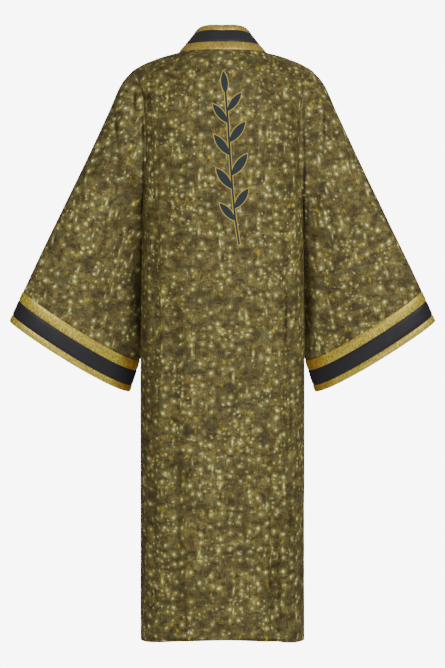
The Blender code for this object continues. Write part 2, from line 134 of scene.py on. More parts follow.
# The top of the shoulder, from the side of the neck to the sleeve
ShoulderRow = namedtuple("ShoulderRow", "x z")
SHOULDER_LINE = [
    ShoulderRow(0.1, 0.0),
    ShoulderRow(0.133, -0.0086),
    ShoulderRow(0.159, -0.0176),
    ShoulderRow(0.181, -0.027),
    ShoulderRow(0.204, -0.04),
]

# The torso's sections: the half width at the side seam, and how far back and forward the cloth reaches
TorsoRow = namedtuple("TorsoRow", "z side_x side_y back_y front_y")
TORSO_SECTIONS = [
    TorsoRow(-1.34, 0.187, 0.0, 0.13, -0.136),
    TorsoRow(-1.0, 0.187, 0.0, 0.126, -0.134),
    TorsoRow(-0.7, 0.187, 0.0, 0.123, -0.132),
    TorsoRow(-0.45, 0.185, -0.004, 0.121, -0.13),
    TorsoRow(-0.34, 0.183, -0.008, 0.121, -0.127),
    TorsoRow(-0.24, 0.185, -0.01, 0.121, -0.123),
    TorsoRow(-0.13, 0.19, -0.01, 0.112, -0.108),
]

# The armhole, as how far back and forward it cuts each torso section
ArmholeRow = namedtuple("ArmholeRow", "z back_y front_y")
ARMHOLE = [
    ArmholeRow(-0.342, -0.008, -0.008),
    ArmholeRow(-0.334, 0.012, -0.026),
    ArmholeRow(-0.316, 0.03, -0.043),
    ArmholeRow(-0.288, 0.044, -0.056),
    ArmholeRow(-0.25, 0.052, -0.064),
    ArmholeRow(-0.195, 0.055, -0.066),
    ArmholeRow(-0.13, 0.05, -0.058),
]

# The seam between a front and its band
FrontSeamRow = namedtuple("FrontSeamRow", "z x")
FRONT_SEAM = [
    FrontSeamRow(-1.34, 0.0875),
    FrontSeamRow(-0.45, 0.0875),
    FrontSeamRow(-0.25, 0.0885),
    FrontSeamRow(-0.13, 0.091),
]

# Which way the neck band stands from its seam. Turn 0 is the middle of the back, 1 the side of the neck,
# CHEST_TURN the chest row, and from FLAT_TURN on the band lies on the front's own section.
CHEST_TURN = 2.0
FLAT_TURN = 3.0
BandRow = namedtuple("BandRow", "turn x y z")
BAND_STAND = [
    BandRow(0.0, 0.0, -0.6, 0.8),
    BandRow(0.5, -0.34, -0.51, 0.78),
    BandRow(1.0, -0.55, -0.52, 0.62),
    BandRow(1.5, -0.73, -0.44, 0.5),
    BandRow(2.0, -0.93, -0.24, 0.26),
    BandRow(3.0, -1.0, -0.05, 0.0),
]

# The sleeve's rings from the armhole, at share 0, to the cuff, at share 1: the upper edge, which lies on the
# arm, the lower edge, which hangs beside the body, how far the cloth reaches behind and before them, how
# much narrower the ring is below than above, how far it bows away from the body, and how far the back hangs
# lower
RingRow = namedtuple(
    "RingRow", "share upper_x upper_y upper_z lower_x lower_y lower_z behind before tear bow hang"
)
SLEEVE_RINGS = [
    RingRow(0.0, 0.204, -0.005, -0.04, 0.183, -0.008, -0.342, 0.066, 0.062, 0.3, 0.0, 0.0),
    RingRow(0.08, 0.232, -0.006, -0.073, 0.1885, -0.015, -0.351, 0.064, 0.062, 0.36, 0.022, 0.0),
    RingRow(0.2, 0.259, -0.008, -0.133, 0.1865, -0.042, -0.386, 0.06, 0.06, 0.4, 0.03, 0.003),
    RingRow(0.4, 0.318, -0.015, -0.259, 0.176, -0.082, -0.476, 0.056, 0.056, 0.4, 0.024, 0.006),
    RingRow(0.6, 0.377, -0.025, -0.377, 0.173, -0.102, -0.575, 0.05, 0.052, 0.36, 0.014, 0.01),
    RingRow(0.8, 0.436, -0.035, -0.496, 0.186, -0.106, -0.678, 0.045, 0.048, 0.32, 0.005, 0.012),
    RingRow(1.0, 0.491, -0.045, -0.614, 0.2155, -0.104, -0.778, 0.04, 0.044, 0.3, 0.0, 0.013),
]

# How much more the lower part of a ring hangs than its middle, and how much less the upper part
HANG_SKEW = 0.30

# The sleeve takes the armhole's own shape at its top, and has lost it by this share of its length
ARMHOLE_FADE = 0.35

# Soft folds down the torso: where each is at its top and at the hem, how far it stands out (or in), its half
# width, and the heights at which it begins and is at its full depth
BACK_FOLDS = [
    (-0.112, -0.121, -0.012, 0.016, -0.82, -1.25),
    (-0.15, -0.158, 0.006, 0.017, -0.85, -1.28),
    (0.126, 0.112, -0.006, 0.024, -0.26, -0.6),
    (0.02, 0.03, 0.004, 0.045, -0.75, -1.3),
]
FRONT_FOLDS = [
    (0.13, 0.124, -0.01, 0.017, -0.42, -1.1),
    (-0.138, -0.132, -0.009, 0.018, -0.52, -1.15),
    (0.048, 0.044, 0.005, 0.026, -0.7, -1.25),
    (-0.052, -0.046, 0.004, 0.028, -0.8, -1.3),
]

# The torso's folds fade this near its side seams
FOLD_EDGE = 0.030

# The power by which the hem comes level towards the side seams
HEM_ROUND = 1.5

# Folds along the sleeve, from the shoulder towards the cuff: how far round each lies, its depth, its half
# width and where it begins and ends. Round 0 is the upper edge, 0.5 the lower one, and the back lies between.
SLEEVE_FOLDS = [
    (0.15, -0.0045, 0.028, 0.03, 0.52),
    (0.265, 0.004, 0.034, 0.05, 0.75),
    (0.75, -0.004, 0.03, 0.05, 0.6),
]

# The shares of the sleeve's length over which its folds grow and fade
SLEEVE_FOLD_GROWS = 0.15
SLEEVE_FOLD_FADES = 0.25

# Points of a line are never taken to lie nearer together than this
SHORTEST = 1e-6


def eased(value):
    """0 below 0, 1 above 1 and a smooth step between."""
    value = min(1.0, max(0.0, value))
    return value * value * (3.0 - 2.0 * value)


def between(start, end, share):
    return start + (end - start) * share


def bell(away, half_width):
    """1 in the middle of a fold, falling softly to its sides."""
    return math.exp(-((away / half_width) ** 2))


def even(count):
    return [i / count for i in range(count + 1)]


def smooth(start, leaving, end, coming, share):
    """A place on the smooth curve from start to end that leaves and comes in by these slopes."""
    squared, cubed = share * share, share * share * share
    return (
        start * (2 * cubed - 3 * squared + 1)
        + leaving * (cubed - 2 * squared + share)
        + end * (3 * squared - 2 * cubed)
        + coming * (cubed - squared)
    )


def table_value(rows, column, at):
    """A column of a table at a value of its first column, on a smooth curve through the rows."""
    keys = [row[0] for row in rows]
    values = [getattr(row, column) for row in rows]
    i = max(0, min(len(rows) - 2, sum(key <= at for key in keys) - 1))
    span = keys[i + 1] - keys[i]

    def slope(k):
        low, high = max(0, k - 1), min(len(keys) - 1, k + 1)
        return (values[high] - values[low]) / (keys[high] - keys[low]) * span

    share = min(1.0, max(0.0, (at - keys[i]) / span))
    return smooth(values[i], slope(i), values[i + 1], slope(i + 1), share)


def copied(rows):
    """The same grid, with points of its own."""
    return [[point.copy() for point in row] for row in rows]


def lengths_along(points):
    """How far each point lies along the line through them all."""
    found = [0.0]
    for near, far in zip(points, points[1:]):
        found.append(found[-1] + (far - near).length)
    return found


def point_at(points, lengths, wanted):
    """The point that lies this far along a line of points."""
    last = len(points) - 2
    i = next((i for i in range(last) if wanted <= lengths[i + 1]), last)
    step = max(lengths[i + 1] - lengths[i], SHORTEST)
    return points[i].lerp(points[i + 1], min(1.0, max(0.0, (wanted - lengths[i]) / step)))


def spaced(points, shares):
    """The same line through points at these shares of its length."""
    lengths = lengths_along(points)
    return [point_at(points, lengths, lengths[-1] * share) for share in shares]


def quarter_round(power):
    """How far across and how far back each point of a quarter of a superellipse lies, as shares."""
    found = []
    for share in even(FINE_STEPS):
        angle = math.pi / 2 * share
        found.append((math.sin(angle) ** (2 / power), max(0.0, math.cos(angle)) ** (2 / power)))
    return found


def fold_offset(folds, x, z, side_x):
    """How far the torso's cloth stands out at this place, for its folds."""
    out = 0.0
    for top_x, hem_x, depth, half_width, begin_z, full_z in folds:
        middle = between(top_x, hem_x, (begin_z - z) / (begin_z - HEM_Z))
        out += depth * eased((begin_z - z) / (begin_z - full_z)) * bell(x - middle, half_width)
    return out * eased((side_x - abs(x)) / FOLD_EDGE)


def torso_section(z, side, behind):
    """The torso's cloth at a height, from the centre line to the side seam on one side."""
    reach, folds, outward = ("back_y", BACK_FOLDS, 1.0) if behind else ("front_y", FRONT_FOLDS, -1.0)
    side_x, side_y, reach_y = [table_value(TORSO_SECTIONS, name, z) for name in ("side_x", "side_y", reach)]
    points = []
    for across, back in quarter_round(TORSO_SQUARE):
        x = side * side_x * across
        y = between(side_y, reach_y, back) + outward * fold_offset(folds, x, z, side_x)
        points.append(Vector((x, y, z)))
    return points


def cut_beyond(points, measure, limit):
    """The first part of a line, up to where a measure of its points passes a limit."""
    kept = points[:1]
    for near, far in zip(points, points[1:]):
        if measure(far) > limit:
            share = (limit - measure(near)) / (measure(far) - measure(near))
            return kept + [near.lerp(far, share)]
        kept.append(far)
    return kept


def cut_at_armhole(points, z, behind):
    """The torso section without the part that belongs to the sleeve."""
    if z <= UNDERARM_Z:
        return points
    if behind:
        return cut_beyond(points, lambda point: -point.y, -table_value(ARMHOLE, "back_y", z))
    return cut_beyond(points, lambda point: point.y, table_value(ARMHOLE, "front_y", z))


def hemmed(points, behind):
    """The torso section moved up or down towards the hem, which is not level."""
    side_x = table_value(TORSO_SECTIONS, "side_x", points[0].z)
    fall = eased((UNDERARM_Z - points[0].z) / (UNDERARM_Z - HEM_Z))
    lift = (HEM_RISE_BACK if behind else -HEM_DROP_FRONT) * fall
    return [
        point + Vector((0, 0, lift * max(0.0, 1 - (point.x / side_x) ** 2) ** HEM_ROUND))
        for point in points
    ]


def row_heights():
    """The heights of the torso's rows, from the chest to the hem."""
    shares = [1 - (1 - share) ** UNDERARM_CROWD for share in even(ARMHOLE_ROWS)[:-1]]
    armhole = [between(CHEST_Z, UNDERARM_Z, share) for share in shares]
    return armhole + [between(UNDERARM_Z, HEM_Z, share) for share in even(SKIRT_ROWS)]


def shoulder_seam(side):
    """The shoulder seam, from the side of the neck to the sleeve."""
    reach = [between(SHOULDER_LINE[0].x, SHOULDER_LINE[-1].x, share) for share in even(FINE_STEPS)]
    line = [Vector((side * x, SHOULDER_Y, table_value(SHOULDER_LINE, "z", x))) for x in reach]
    return spaced(line, even(SHOULDER_COLUMNS))


def back_neckline(side):
    """The back half of the neckline, from the middle of the back to the side of the neck."""
    line = [
        Vector((side * NECK_HALF_WIDTH * across, between(SHOULDER_Y, NECK_BACK.y, back), NECK_BACK.z * back))
        for across, back in quarter_round(NECK_ROUND)
    ]
    return spaced(line, even(NECK_COLUMNS))


def yoke_rows(top_row, chest_row, leaving):
    """The rows from the top edge to just above the chest row, on smooth curves that leave the top edge in
    these ways and come to the chest row downwards."""
    rows = []
    for share in even(YOKE_ROWS)[:-1]:
        line = []
        for top, chest, way in zip(top_row, chest_row, leaving):
            reach = (chest - top).length
            start = way.normalized() * reach * YOKE_FULLNESS
            line.append(smooth(top, start, chest, Vector((0, 0, -reach)), share))
        rows.append(line)
    return rows


def relaxed(rows):
    """The yoke with its inner points evened out between their neighbours. Its edges stay where they are."""
    rows = copied(rows)
    for _ in range(RELAX_ROUNDS):
        before = copied(rows[: YOKE_ROWS + 1])
        for i in range(1, YOKE_ROWS):
            for j in range(1, len(rows[i]) - 1):
                near = before[i][j - 1] + before[i][j + 1] + before[i - 1][j] + before[i + 1][j]
                rows[i][j] = before[i][j].lerp(near / 4, 0.5)
    return rows


def crowded(whole, cut, shares):
    """Shares of a cut line that keep each column in line with the whole line's, and only crowd the outer
    columns where the line is shorter."""
    ratio = lengths_along(cut)[-1] / lengths_along(whole)[-1]
    kept = [share * (1 - (1 - ratio) * eased((share - CROWD_FROM) / (1 - CROWD_FROM))) for share in shares]
    return [share / kept[-1] for share in kept]


def back_half(side):
    """Rows of points over one half of the back, each from the middle of the back outwards."""
    columns = even(NECK_COLUMNS + SHOULDER_COLUMNS)
    skirt = []
    for z in row_heights():
        whole = torso_section(z, side, True)
        cut = cut_at_armhole(whole, z, True)
        skirt.append(spaced(hemmed(cut, True), crowded(whole, cut, columns)))
    leaving = [LEAVING_NAPE.lerp(LEAVING_CORNER, turn) for turn in even(NECK_COLUMNS)[:-1]]
    leaving += [LEAVING_CORNER.lerp(LEAVING_SHOULDER, eased(2 * share)) for share in even(SHOULDER_COLUMNS)]
    for way in leaving:
        way.x *= side
    return relaxed(yoke_rows(back_neckline(side) + shoulder_seam(side)[1:], skirt[0], leaving) + skirt)


def front_half(side):
    """Rows of points over one front, each from the band's seam outwards."""
    columns = even(SHOULDER_COLUMNS)
    skirt = []
    for z in row_heights():
        seam_x = table_value(FRONT_SEAM, "x", z)
        section = torso_section(z, side, False)
        whole = cut_beyond(section[::-1], lambda point: -abs(point.x), -seam_x)[::-1]
        cut = cut_at_armhole(whole, z, False)
        skirt.append(spaced(hemmed(cut, False), crowded(whole, cut, columns)))
    forwards = Vector((0, -LEAVING_SHOULDER.y, LEAVING_SHOULDER.z))
    return relaxed(yoke_rows(shoulder_seam(side), skirt[0], [forwards] * len(columns)) + skirt)


def band_station(seam_point, turn, side, height, widths):
    """The points across the neck band at one place along its seam, for this height of the torso."""
    stand = Vector([table_value(BAND_STAND, axis, min(turn, FLAT_TURN)) for axis in "xyz"]).normalized()
    stand.x *= side
    standing = [seam_point + stand * width for width in widths]
    if turn <= CHEST_TURN:
        return standing
    section = hemmed(torso_section(height, side, False), False)
    flat_line = cut_beyond(section, lambda point: abs(point.x), abs(seam_point.x))[::-1]
    lengths = lengths_along(flat_line)
    flat = [point_at(flat_line, lengths, width) for width in widths]
    laid = [up.lerp(down, eased(turn - CHEST_TURN)) for up, down in zip(standing, flat)]
    return [seam_point] + laid[1:]


def ring_at(share):
    """The sleeve's sizes at this share of its length."""
    return RingRow(share, *[table_value(SLEEVE_RINGS, column, share) for column in RingRow._fields[1:]])


def sleeve_ring_point(ring, turn, side):
    """A point of the sleeve's own ring, before it is fitted to the armhole. Turn runs once round from the
    upper edge over the back of the sleeve."""
    upper = Vector((ring.upper_x, ring.upper_y, ring.upper_z))
    lower = Vector((ring.lower_x, ring.lower_y, ring.lower_z))
    along, out = math.cos(2 * math.pi * turn), math.sin(2 * math.pi * turn)
    full = out * (1.0 + ring.tear * along)
    depth = full * (ring.behind if full > 0 else ring.before)
    depth += math.copysign(sleeve_fold(ring.share, turn), full)
    chord = upper - lower
    outward = Vector((chord.z, 0.0, -chord.x)).normalized()
    point = (upper + lower) / 2 + chord / 2 * along + Vector((0.0, depth, 0.0))
    point += outward * ring.hang * out * (1.0 - HANG_SKEW * along)
    point += outward * ring.bow * abs(out) * (1.0 - along) / 2
    point.x *= side
    return point


def sleeve_fold(ring_share, turn):
    """How far the sleeve stands out at this place, for its folds."""
    out = 0.0
    for middle, depth, half_width, begin, end in SLEEVE_FOLDS:
        strength = eased((ring_share - begin) / SLEEVE_FOLD_GROWS)
        strength *= eased((end - ring_share) / SLEEVE_FOLD_FADES)
        out += depth * strength * bell(turn - middle, half_width)
    return out


def mirrored_rows(right, left):
    """Full rows from the two halves of a panel, which share the points of the centre line."""
    return [row_right[:0:-1] + row_left for row_right, row_left in zip(right, left)]


def key_of(point):
    return tuple(round(value, 6) for value in point)


def corner_normals(corners):
    """The normal at each corner of a face, as long as the corner's angle."""
    found = []
    for i, corner in enumerate(corners):
        after = corners[(i + 1) % 4] - corner
        before = corners[i - 1] - corner
        found.append(after.cross(before).normalized() * after.angle(before))
    return found


# Finer cloth

# How many finer lines stand for each line of the solids' grid
FINER = 4
CLOTH_RINGS = SLEEVE_ROWS * FINER

# Thickness of one layer of cloth and of the folded strips of the band
CLOTH = 0.0012
STRIP = 0.0022

# A seam sinks this far, over this much cloth on each side of it
SEAM_SINK = 0.0011
SEAM_SIDE = 0.0028

# How far the band's strips stand out in their middle, and about how far apart the lines along them lie
STRIP_CROWN = 0.0007
STRIP_STEP = 0.006

# Creases and soft troughs on the cloth, as straight lines seen from behind or before: the x and z where each
# begins and ends, how far it stands out (or in) and its half width
CREASES = {
    "back": [
        # down the back
        (-0.145, -0.33, -0.153, -1.06, -0.0048, 0.0075),
        (-0.125, -0.36, -0.133, -0.98, 0.0026, 0.01),
        (-0.135, -0.9, -0.14, -1.42, 0.002, 0.01),
        (0.156, -0.26, 0.15, -0.86, -0.005, 0.011),
        (0.133, -0.33, 0.13, -0.76, 0.0032, 0.01),
        (0.158, -0.72, 0.154, -1.42, -0.0036, 0.01),
        (0.07, -0.52, 0.086, -1.18, -0.0015, 0.02),
        (-0.05, -0.56, -0.062, -1.26, 0.0016, 0.022),
        (0.118, -0.9, 0.124, -1.4, 0.0019, 0.014),
        (-0.11, -0.74, -0.1165, -1.44, -0.0045, 0.0075),
        (-0.129, -0.86, -0.136, -1.44, 0.003, 0.009),
        (0.112, -0.42, 0.099, -1.43, -0.0045, 0.015),
        (0.084, -0.46, 0.072, -1.4, 0.003, 0.019),
        (0.024, -0.62, 0.012, -1.42, -0.0028, 0.02),
        # from the shoulders towards the armholes
        (0.168, -0.07, 0.1668, -0.17, -0.003, 0.006),
        (-0.164, -0.08, -0.165, -0.19, -0.0026, 0.0065),
        (-0.115, -0.06, -0.172, -0.2, -0.002, 0.014),
        (0.118, -0.066, 0.174, -0.215, -0.0022, 0.014),
        (-0.15, -0.12, -0.178, -0.3, 0.0015, 0.01),
        (0.156, -0.13, 0.179, -0.29, 0.0016, 0.01),
    ],
    "front": [
        (0.12, -0.09, 0.166, -0.23, -0.0024, 0.014),
        (-0.124, -0.096, -0.168, -0.24, -0.0022, 0.014),
        (0.112, -0.26, 0.108, -0.82, -0.0022, 0.012),
        (-0.108, -0.3, -0.112, -0.9, 0.002, 0.013),
        (0.156, -0.42, 0.153, -1.06, 0.0018, 0.01),
        (-0.16, -0.36, -0.156, -0.88, -0.0022, 0.01),
        (0.101, -0.94, 0.1, -1.42, -0.0019, 0.009),
        (-0.118, -1.0, -0.115, -1.42, 0.0019, 0.012),
    ],
    "sleeve_back": [
        (0.206, -0.056, 0.203, -0.19, -0.0052, 0.008),
        (0.224, -0.085, 0.224, -0.27, 0.0036, 0.011),
        (0.206, -0.19, 0.216, -0.35, -0.0036, 0.009),
        (0.246, -0.11, 0.237, -0.33, -0.005, 0.0085),
        (0.31, -0.26, 0.356, -0.52, 0.0024, 0.02),
        (0.226, -0.18, 0.216, -0.7, 0.0084, 0.016),
        (0.25, -0.47, 0.276, -0.69, -0.002, 0.018),
        (-0.207, -0.058, -0.205, -0.2, -0.005, 0.008),
        (-0.225, -0.08, -0.228, -0.26, 0.0036, 0.011),
        (-0.246, -0.12, -0.248, -0.32, -0.0048, 0.009),
        (-0.216, -0.19, -0.224, -0.37, -0.003, 0.01),
        (-0.28, -0.2, -0.324, -0.47, -0.0026, 0.018),
        (-0.228, -0.2, -0.217, -0.7, 0.0095, 0.016),
        (-0.262, -0.43, -0.296, -0.66, 0.002, 0.018),
    ],
    "sleeve_front": [
        (0.204, -0.064, 0.22, -0.2, -0.0036, 0.011),
        (0.228, -0.1, 0.246, -0.32, 0.003, 0.014),
        (0.26, -0.17, 0.312, -0.46, -0.0028, 0.018),
        (0.216, -0.26, 0.23, -0.47, -0.0028, 0.011),
        (-0.204, -0.064, -0.218, -0.21, -0.0038, 0.011),
        (-0.23, -0.09, -0.252, -0.3, 0.003, 0.014),
        (-0.27, -0.2, -0.31, -0.43, -0.0026, 0.018),
        (-0.218, -0.28, -0.234, -0.48, 0.0026, 0.011),
    ],
}

# A crease comes and goes over this share of its length, and over the sleeve's edges, where the sine of the
# way round is under CREASE_BRIM
CREASE_ENDS = 0.28
CREASE_BRIM = 0.35

# Uneven lie of the cloth: how far it stands out, and how often it turns across and down
UNEVEN = [
    (0.0016, 9.0, 2.6),
    (0.0006, 26.0, 8.0),
]

# Small puckers beside the seams: how far, how often along the seam, and how far from it they fade
PUCKER = 0.0007
PUCKERS_PER_METRE = 46.0
PUCKER_REACH = 0.016
PUCKER_START = 0.006

# Noise is 0 where all its three values are whole, so the puckers' third value is not
PUCKER_LEVEL = 0.5

# The way round a sleeve, in metres, for its puckers and for its uneven lie
PUCKER_ROUND = 0.66
UNEVEN_ROUND = 0.70

# Where the random waves of each panel and seam start. The fronts and sleeves are told apart by side, 1 for
# the left and -1 for the right, and FAR_SIDE_SEED is added beyond the middle of a panel.
BACK_SEED = 1.0
FRONT_SEEDS = {1: 14.0, -1: 8.0}
FAR_SIDE_SEED = 3.0
SLEEVE_SEEDS = {1: 7.0, -1: 3.0}
ARMHOLE_SEED = 9.0
CUFF_SEED = 12.0

# The cloth lies still this near a seam
QUIET_EDGE = 0.014

# Under the arm a sleeve leans on the body, down to a small gap, where it comes as near as LEAN_NEAR. From
# LEAN_REACH on it hangs free. The leaning grows over a little height, and just below the armhole the sleeve
# lies in the hollow of the seam.
LEAN_GAP = 0.0005
LEAN_NEAR = 0.009
LEAN_REACH = 0.030
LEAN_GROWS = 0.0008
LEAN_HOLLOW = 0.014

# The hem is folded up by this much, with a shallow groove above the fold
HEM_FOLD = 0.0024
HEM_GROOVE = 0.0008

# Which edges of a panel, and of a sleeve's rings, are sewn
PANEL_SEAMS = ("first_row", "first_column", "last_column")
RING_SEAMS = ("first_row", "last_row")


def curve_through(before, near, far, after, share):
    """A point between near and far on the smooth curve through four points, which may lie unevenly apart."""
    steps = [max((b - a).length, SHORTEST) for a, b in ((before, near), (near, far), (far, after))]
    ways = [(near - before) / steps[0], (far - near) / steps[1], (after - far) / steps[2]]
    leaving = ways[0] - (far - before) / (steps[0] + steps[1]) + ways[1]
    coming = ways[1] - (after - near) / (steps[1] + steps[2]) + ways[2]
    return smooth(near, leaving * steps[1], far, coming * steps[1], share)


def finer_line(points):
    """The smooth curve through points, with FINER steps for each one."""
    padded = [points[0] * 2 - points[1], *points, points[-1] * 2 - points[-2]]
    line = []
    for i in range(len(points) - 1):
        line += [curve_through(*padded[i : i + 4], step / FINER) for step in range(FINER)]
    return line + [points[-1].copy()]


def finer_grid(rows):
    """A finer grid on the same surface."""
    wide = [finer_line(row) for row in rows]
    return [list(row) for row in zip(*[finer_line(column) for column in zip(*wide)])]


def crease_offset(face, x, z):
    """How far the creases move the cloth at this place."""
    out = 0.0
    for x0, z0, x1, z1, depth, half_width in CREASES[face]:
        run_x, run_z = x1 - x0, z1 - z0
        share = ((x - x0) * run_x + (z - z0) * run_z) / (run_x**2 + run_z**2)
        if 0.0 < share < 1.0:
            away = math.hypot(x - x0 - run_x * share, z - z0 - run_z * share)
            strength = depth * eased(share / CREASE_ENDS) * eased((1 - share) / CREASE_ENDS)
            out += strength * bell(away, half_width)
    return out


def uneven_offset(across, down, seed):
    """The cloth's uneven lie at this place."""
    return sum(
        depth * noise.noise(Vector((across * often_across, down * often_down, seed)))
        for depth, often_across, often_down in UNEVEN
    )


def pucker_offset(along, from_seam, seed):
    """How far the small puckers beside a seam move the cloth."""
    wave = noise.noise(Vector((along * PUCKERS_PER_METRE, seed, PUCKER_LEVEL)))
    return PUCKER * wave * math.exp(-from_seam / PUCKER_REACH)


def simple_normals(rows, around=False):
    """The direction square to the surface at each point of a grid."""
    found = []
    count = len(rows[0])
    for i, row in enumerate(rows):
        above, below = rows[max(0, i - 1)], rows[min(len(rows) - 1, i + 1)]
        line = []
        for j in range(count):
            before = row[j - 1] if j or around else row[0]
            after = row[(j + 1) % count] if j < count - 1 or around else row[-1]
            line.append((after - before).cross(below[j] - above[j]).normalized())
        found.append(line)
    return found


def moved_out(creases, puckers, from_edge):
    """How far creases and puckers move the cloth this far from its nearest seam."""
    return creases * eased(from_edge / QUIET_EDGE) + puckers * eased(from_edge / PUCKER_START)


def creased_panel(rows, face, seed):
    """A panel of the torso with its creases. The cloth lies still at its top edge and at its side seams."""
    normals = simple_normals(rows)
    middle_y = normals[len(rows) // 2][len(rows[0]) // 2].y
    sign = math.copysign(1.0, middle_y if face == "back" else -middle_y)
    deep = lengths_along([row[len(row) // 2] for row in rows])
    moved = []
    for i, row in enumerate(rows):
        reach = lengths_along(row)
        line = []
        for j, point in enumerate(row):
            from_seam = min(reach[-1] - reach[j], reach[j])
            creases = crease_offset(face, point.x, point.z) + uneven_offset(point.x, point.z, seed)
            side_seed = seed + (FAR_SIDE_SEED if reach[j] > reach[-1] / 2 else 0.0)
            puckers = pucker_offset(point.z, from_seam, side_seed)
            line.append(point + normals[i][j] * sign * moved_out(creases, puckers, min(from_seam, deep[i])))
        moved.append(line)
    return moved


def fine_heights():
    """The heights of the finer rows below the chest."""
    coarse = row_heights()
    found = []
    for near, far in zip(coarse, coarse[1:]):
        found += [between(near, far, step / FINER) for step in range(FINER)]
    return found + coarse[-1:]


def strip_lines():
    """How far the lines along the band lie from its seam, and the first and last line of each strip."""
    seams = [0.0, GOLD_INNER, GOLD_INNER + BLACK_MIDDLE, BAND_WIDTH]
    lines, spans = [0.0], []
    for start, end in zip(seams, seams[1:]):
        first = len(lines) - 1
        steps = max(2, round((end - start - 2 * SEAM_SIDE) / STRIP_STEP))
        lines += [between(start + SEAM_SIDE, end - SEAM_SIDE, share) for share in even(steps)]
        lines.append(end)
        spans.append((first, len(lines) - 1))
    return lines, spans


def fine_band(back, fronts):
    """The lines along the neck band, each from the right hem, round the neck, to the left hem."""
    widths, _ = strip_lines()
    middle = len(back[0]) // 2
    neck = NECK_COLUMNS * FINER
    yoke = YOKE_ROWS * FINER

    def half(side):
        places = [(back[0][middle + side * i], i / neck) for i in range(neck + 1)]
        places += [(fronts[side][i][0], 1.0 + i / yoke) for i in range(1, yoke)]
        stations = [band_station(point, turn, side, point.z, widths) for point, turn in places]
        for height, row in zip(fine_heights(), fronts[side][yoke:]):
            turn = CHEST_TURN + (CHEST_Z - height) / (CHEST_Z - FLAT_BAND_Z)
            stations.append(band_station(row[0], turn, side, height, widths))
        return stations

    return [list(line) for line in zip(*(half(-1)[:0:-1] + half(1)))]


def fine_sleeve(loop, side):
    """Rings from the armhole to the cuff edge, with the lines of the cuff's strips last, and how far round
    each column lies."""
    lengths = lengths_along(loop + loop[:1])
    half = len(loop) // 2
    behind, before = lengths[half], lengths[-1] - lengths[half]
    turns = [0.5 * length / behind for length in lengths[: half + 1]]
    turns += [0.5 + 0.5 * (length - behind) / before for length in lengths[half + 1 : -1]]
    shapes = [ring_at(share) for share in even(SLEEVE_STEPS)]
    paths = []
    for start, turn in zip(loop, turns):
        misfit = start - sleeve_ring_point(shapes[0], turn, side)
        path = [
            sleeve_ring_point(shape, turn, side) + misfit * (1.0 - eased(shape.share / ARMHOLE_FADE))
            for shape in shapes
        ]
        reached = lengths_along(path)
        cloth = reached[-1] - BAND_WIDTH
        marks = [cloth * share**SLEEVE_CROWD for share in even(CLOTH_RINGS)[:-1]]
        marks += [cloth + line for line in strip_lines()[0]]
        paths.append([point_at(path, reached, mark) for mark in marks])
    return [list(ring) for ring in zip(*paths)], turns


def torso_side(y, z):
    """How far out the torso's cloth is at this depth and height, apart from its folds."""
    side_x, side_y = [table_value(TORSO_SECTIONS, column, z) for column in ("side_x", "side_y")]
    reach = table_value(TORSO_SECTIONS, "back_y" if y > side_y else "front_y", z) - side_y
    share = min(1.0, abs((y - side_y) / reach))
    return side_x * (1.0 - share**TORSO_SQUARE) ** (1.0 / TORSO_SQUARE)


def leaning(rings):
    """The sleeve with its cloth leaning on the side of the body under the arm, where it comes close."""
    moved = copied(rings)
    for point in (point for ring in moved for point in ring):
        gap = abs(point.x) - torso_side(point.y, point.z)
        if abs(gap) < LEAN_REACH and point.z < UNDERARM_Z:
            free = eased((gap - LEAN_NEAR) / (LEAN_REACH - LEAN_NEAR))
            least = between(-SEAM_SINK, LEAN_GAP, eased((UNDERARM_Z - point.z) / LEAN_HOLLOW))
            near = between(gap, between(least, gap, free), eased((UNDERARM_Z - point.z) / LEAN_GROWS))
            point.x = math.copysign(abs(point.x) - gap + near, point.x)
    return moved


def creased_sleeve(rings, turns, side):
    """The sleeve with its creases. It lies still at the armhole and where the cuff is sewn on."""
    normals = simple_normals(rings, around=True)
    level, quarter = len(rings) // 2, len(turns) // 4
    centre = sum(rings[level], Vector()) / len(turns)
    sign = math.copysign(1.0, normals[level][quarter].dot(rings[level][quarter] - centre))
    moved = copied(rings)
    for j, turn in enumerate(turns):
        reach = lengths_along([ring[j] for ring in rings])
        face = "sleeve_back" if turn < 0.5 else "sleeve_front"
        brim = eased(abs(math.sin(2 * math.pi * turn)) / CREASE_BRIM)
        for i in range(1, CLOTH_RINGS):
            point, from_cuff = rings[i][j], reach[CLOTH_RINGS] - reach[i]
            creases = crease_offset(face, point.x, point.z) * brim
            creases += uneven_offset(turn * UNEVEN_ROUND, reach[i], SLEEVE_SEEDS[side])
            puckers = pucker_offset(turn * PUCKER_ROUND, reach[i], ARMHOLE_SEED + side)
            puckers += pucker_offset(turn * PUCKER_ROUND, from_cuff, CUFF_SEED + side)
            moved[i][j] = point + normals[i][j] * sign * moved_out(creases, puckers, min(reach[i], from_cuff))
    return moved


# Sewing the shells


def beside(edge, inner):
    """The line of cloth just beside a seam."""
    return [
        seam_point.lerp(next_point, min(0.5, SEAM_SIDE / max((next_point - seam_point).length, SHORTEST)))
        for seam_point, next_point in zip(edge, inner)
    ]


def with_hem_lines(rows):
    """The grid with two more lines close to its lower edge, for the fold of the hem."""
    extra = [
        [low.lerp(high, above / (low - high).length) for low, high in zip(rows[-1], rows[-2])]
        for above in (2 * HEM_FOLD, HEM_FOLD)
    ]
    return rows[:-1] + extra + rows[-1:]


def with_seam_lines(rows, seams):
    """The grid with one more line of points close beside each seam."""
    for first, last in (("first_row", "last_row"), ("first_column", "last_column")):
        rows = [list(row) for row in rows]
        if first in seams:
            rows.insert(1, beside(rows[0], rows[1]))
        if last in seams:
            rows.insert(-1, beside(rows[-1], rows[-2]))
        rows = list(zip(*rows))
    return [list(row) for row in rows]


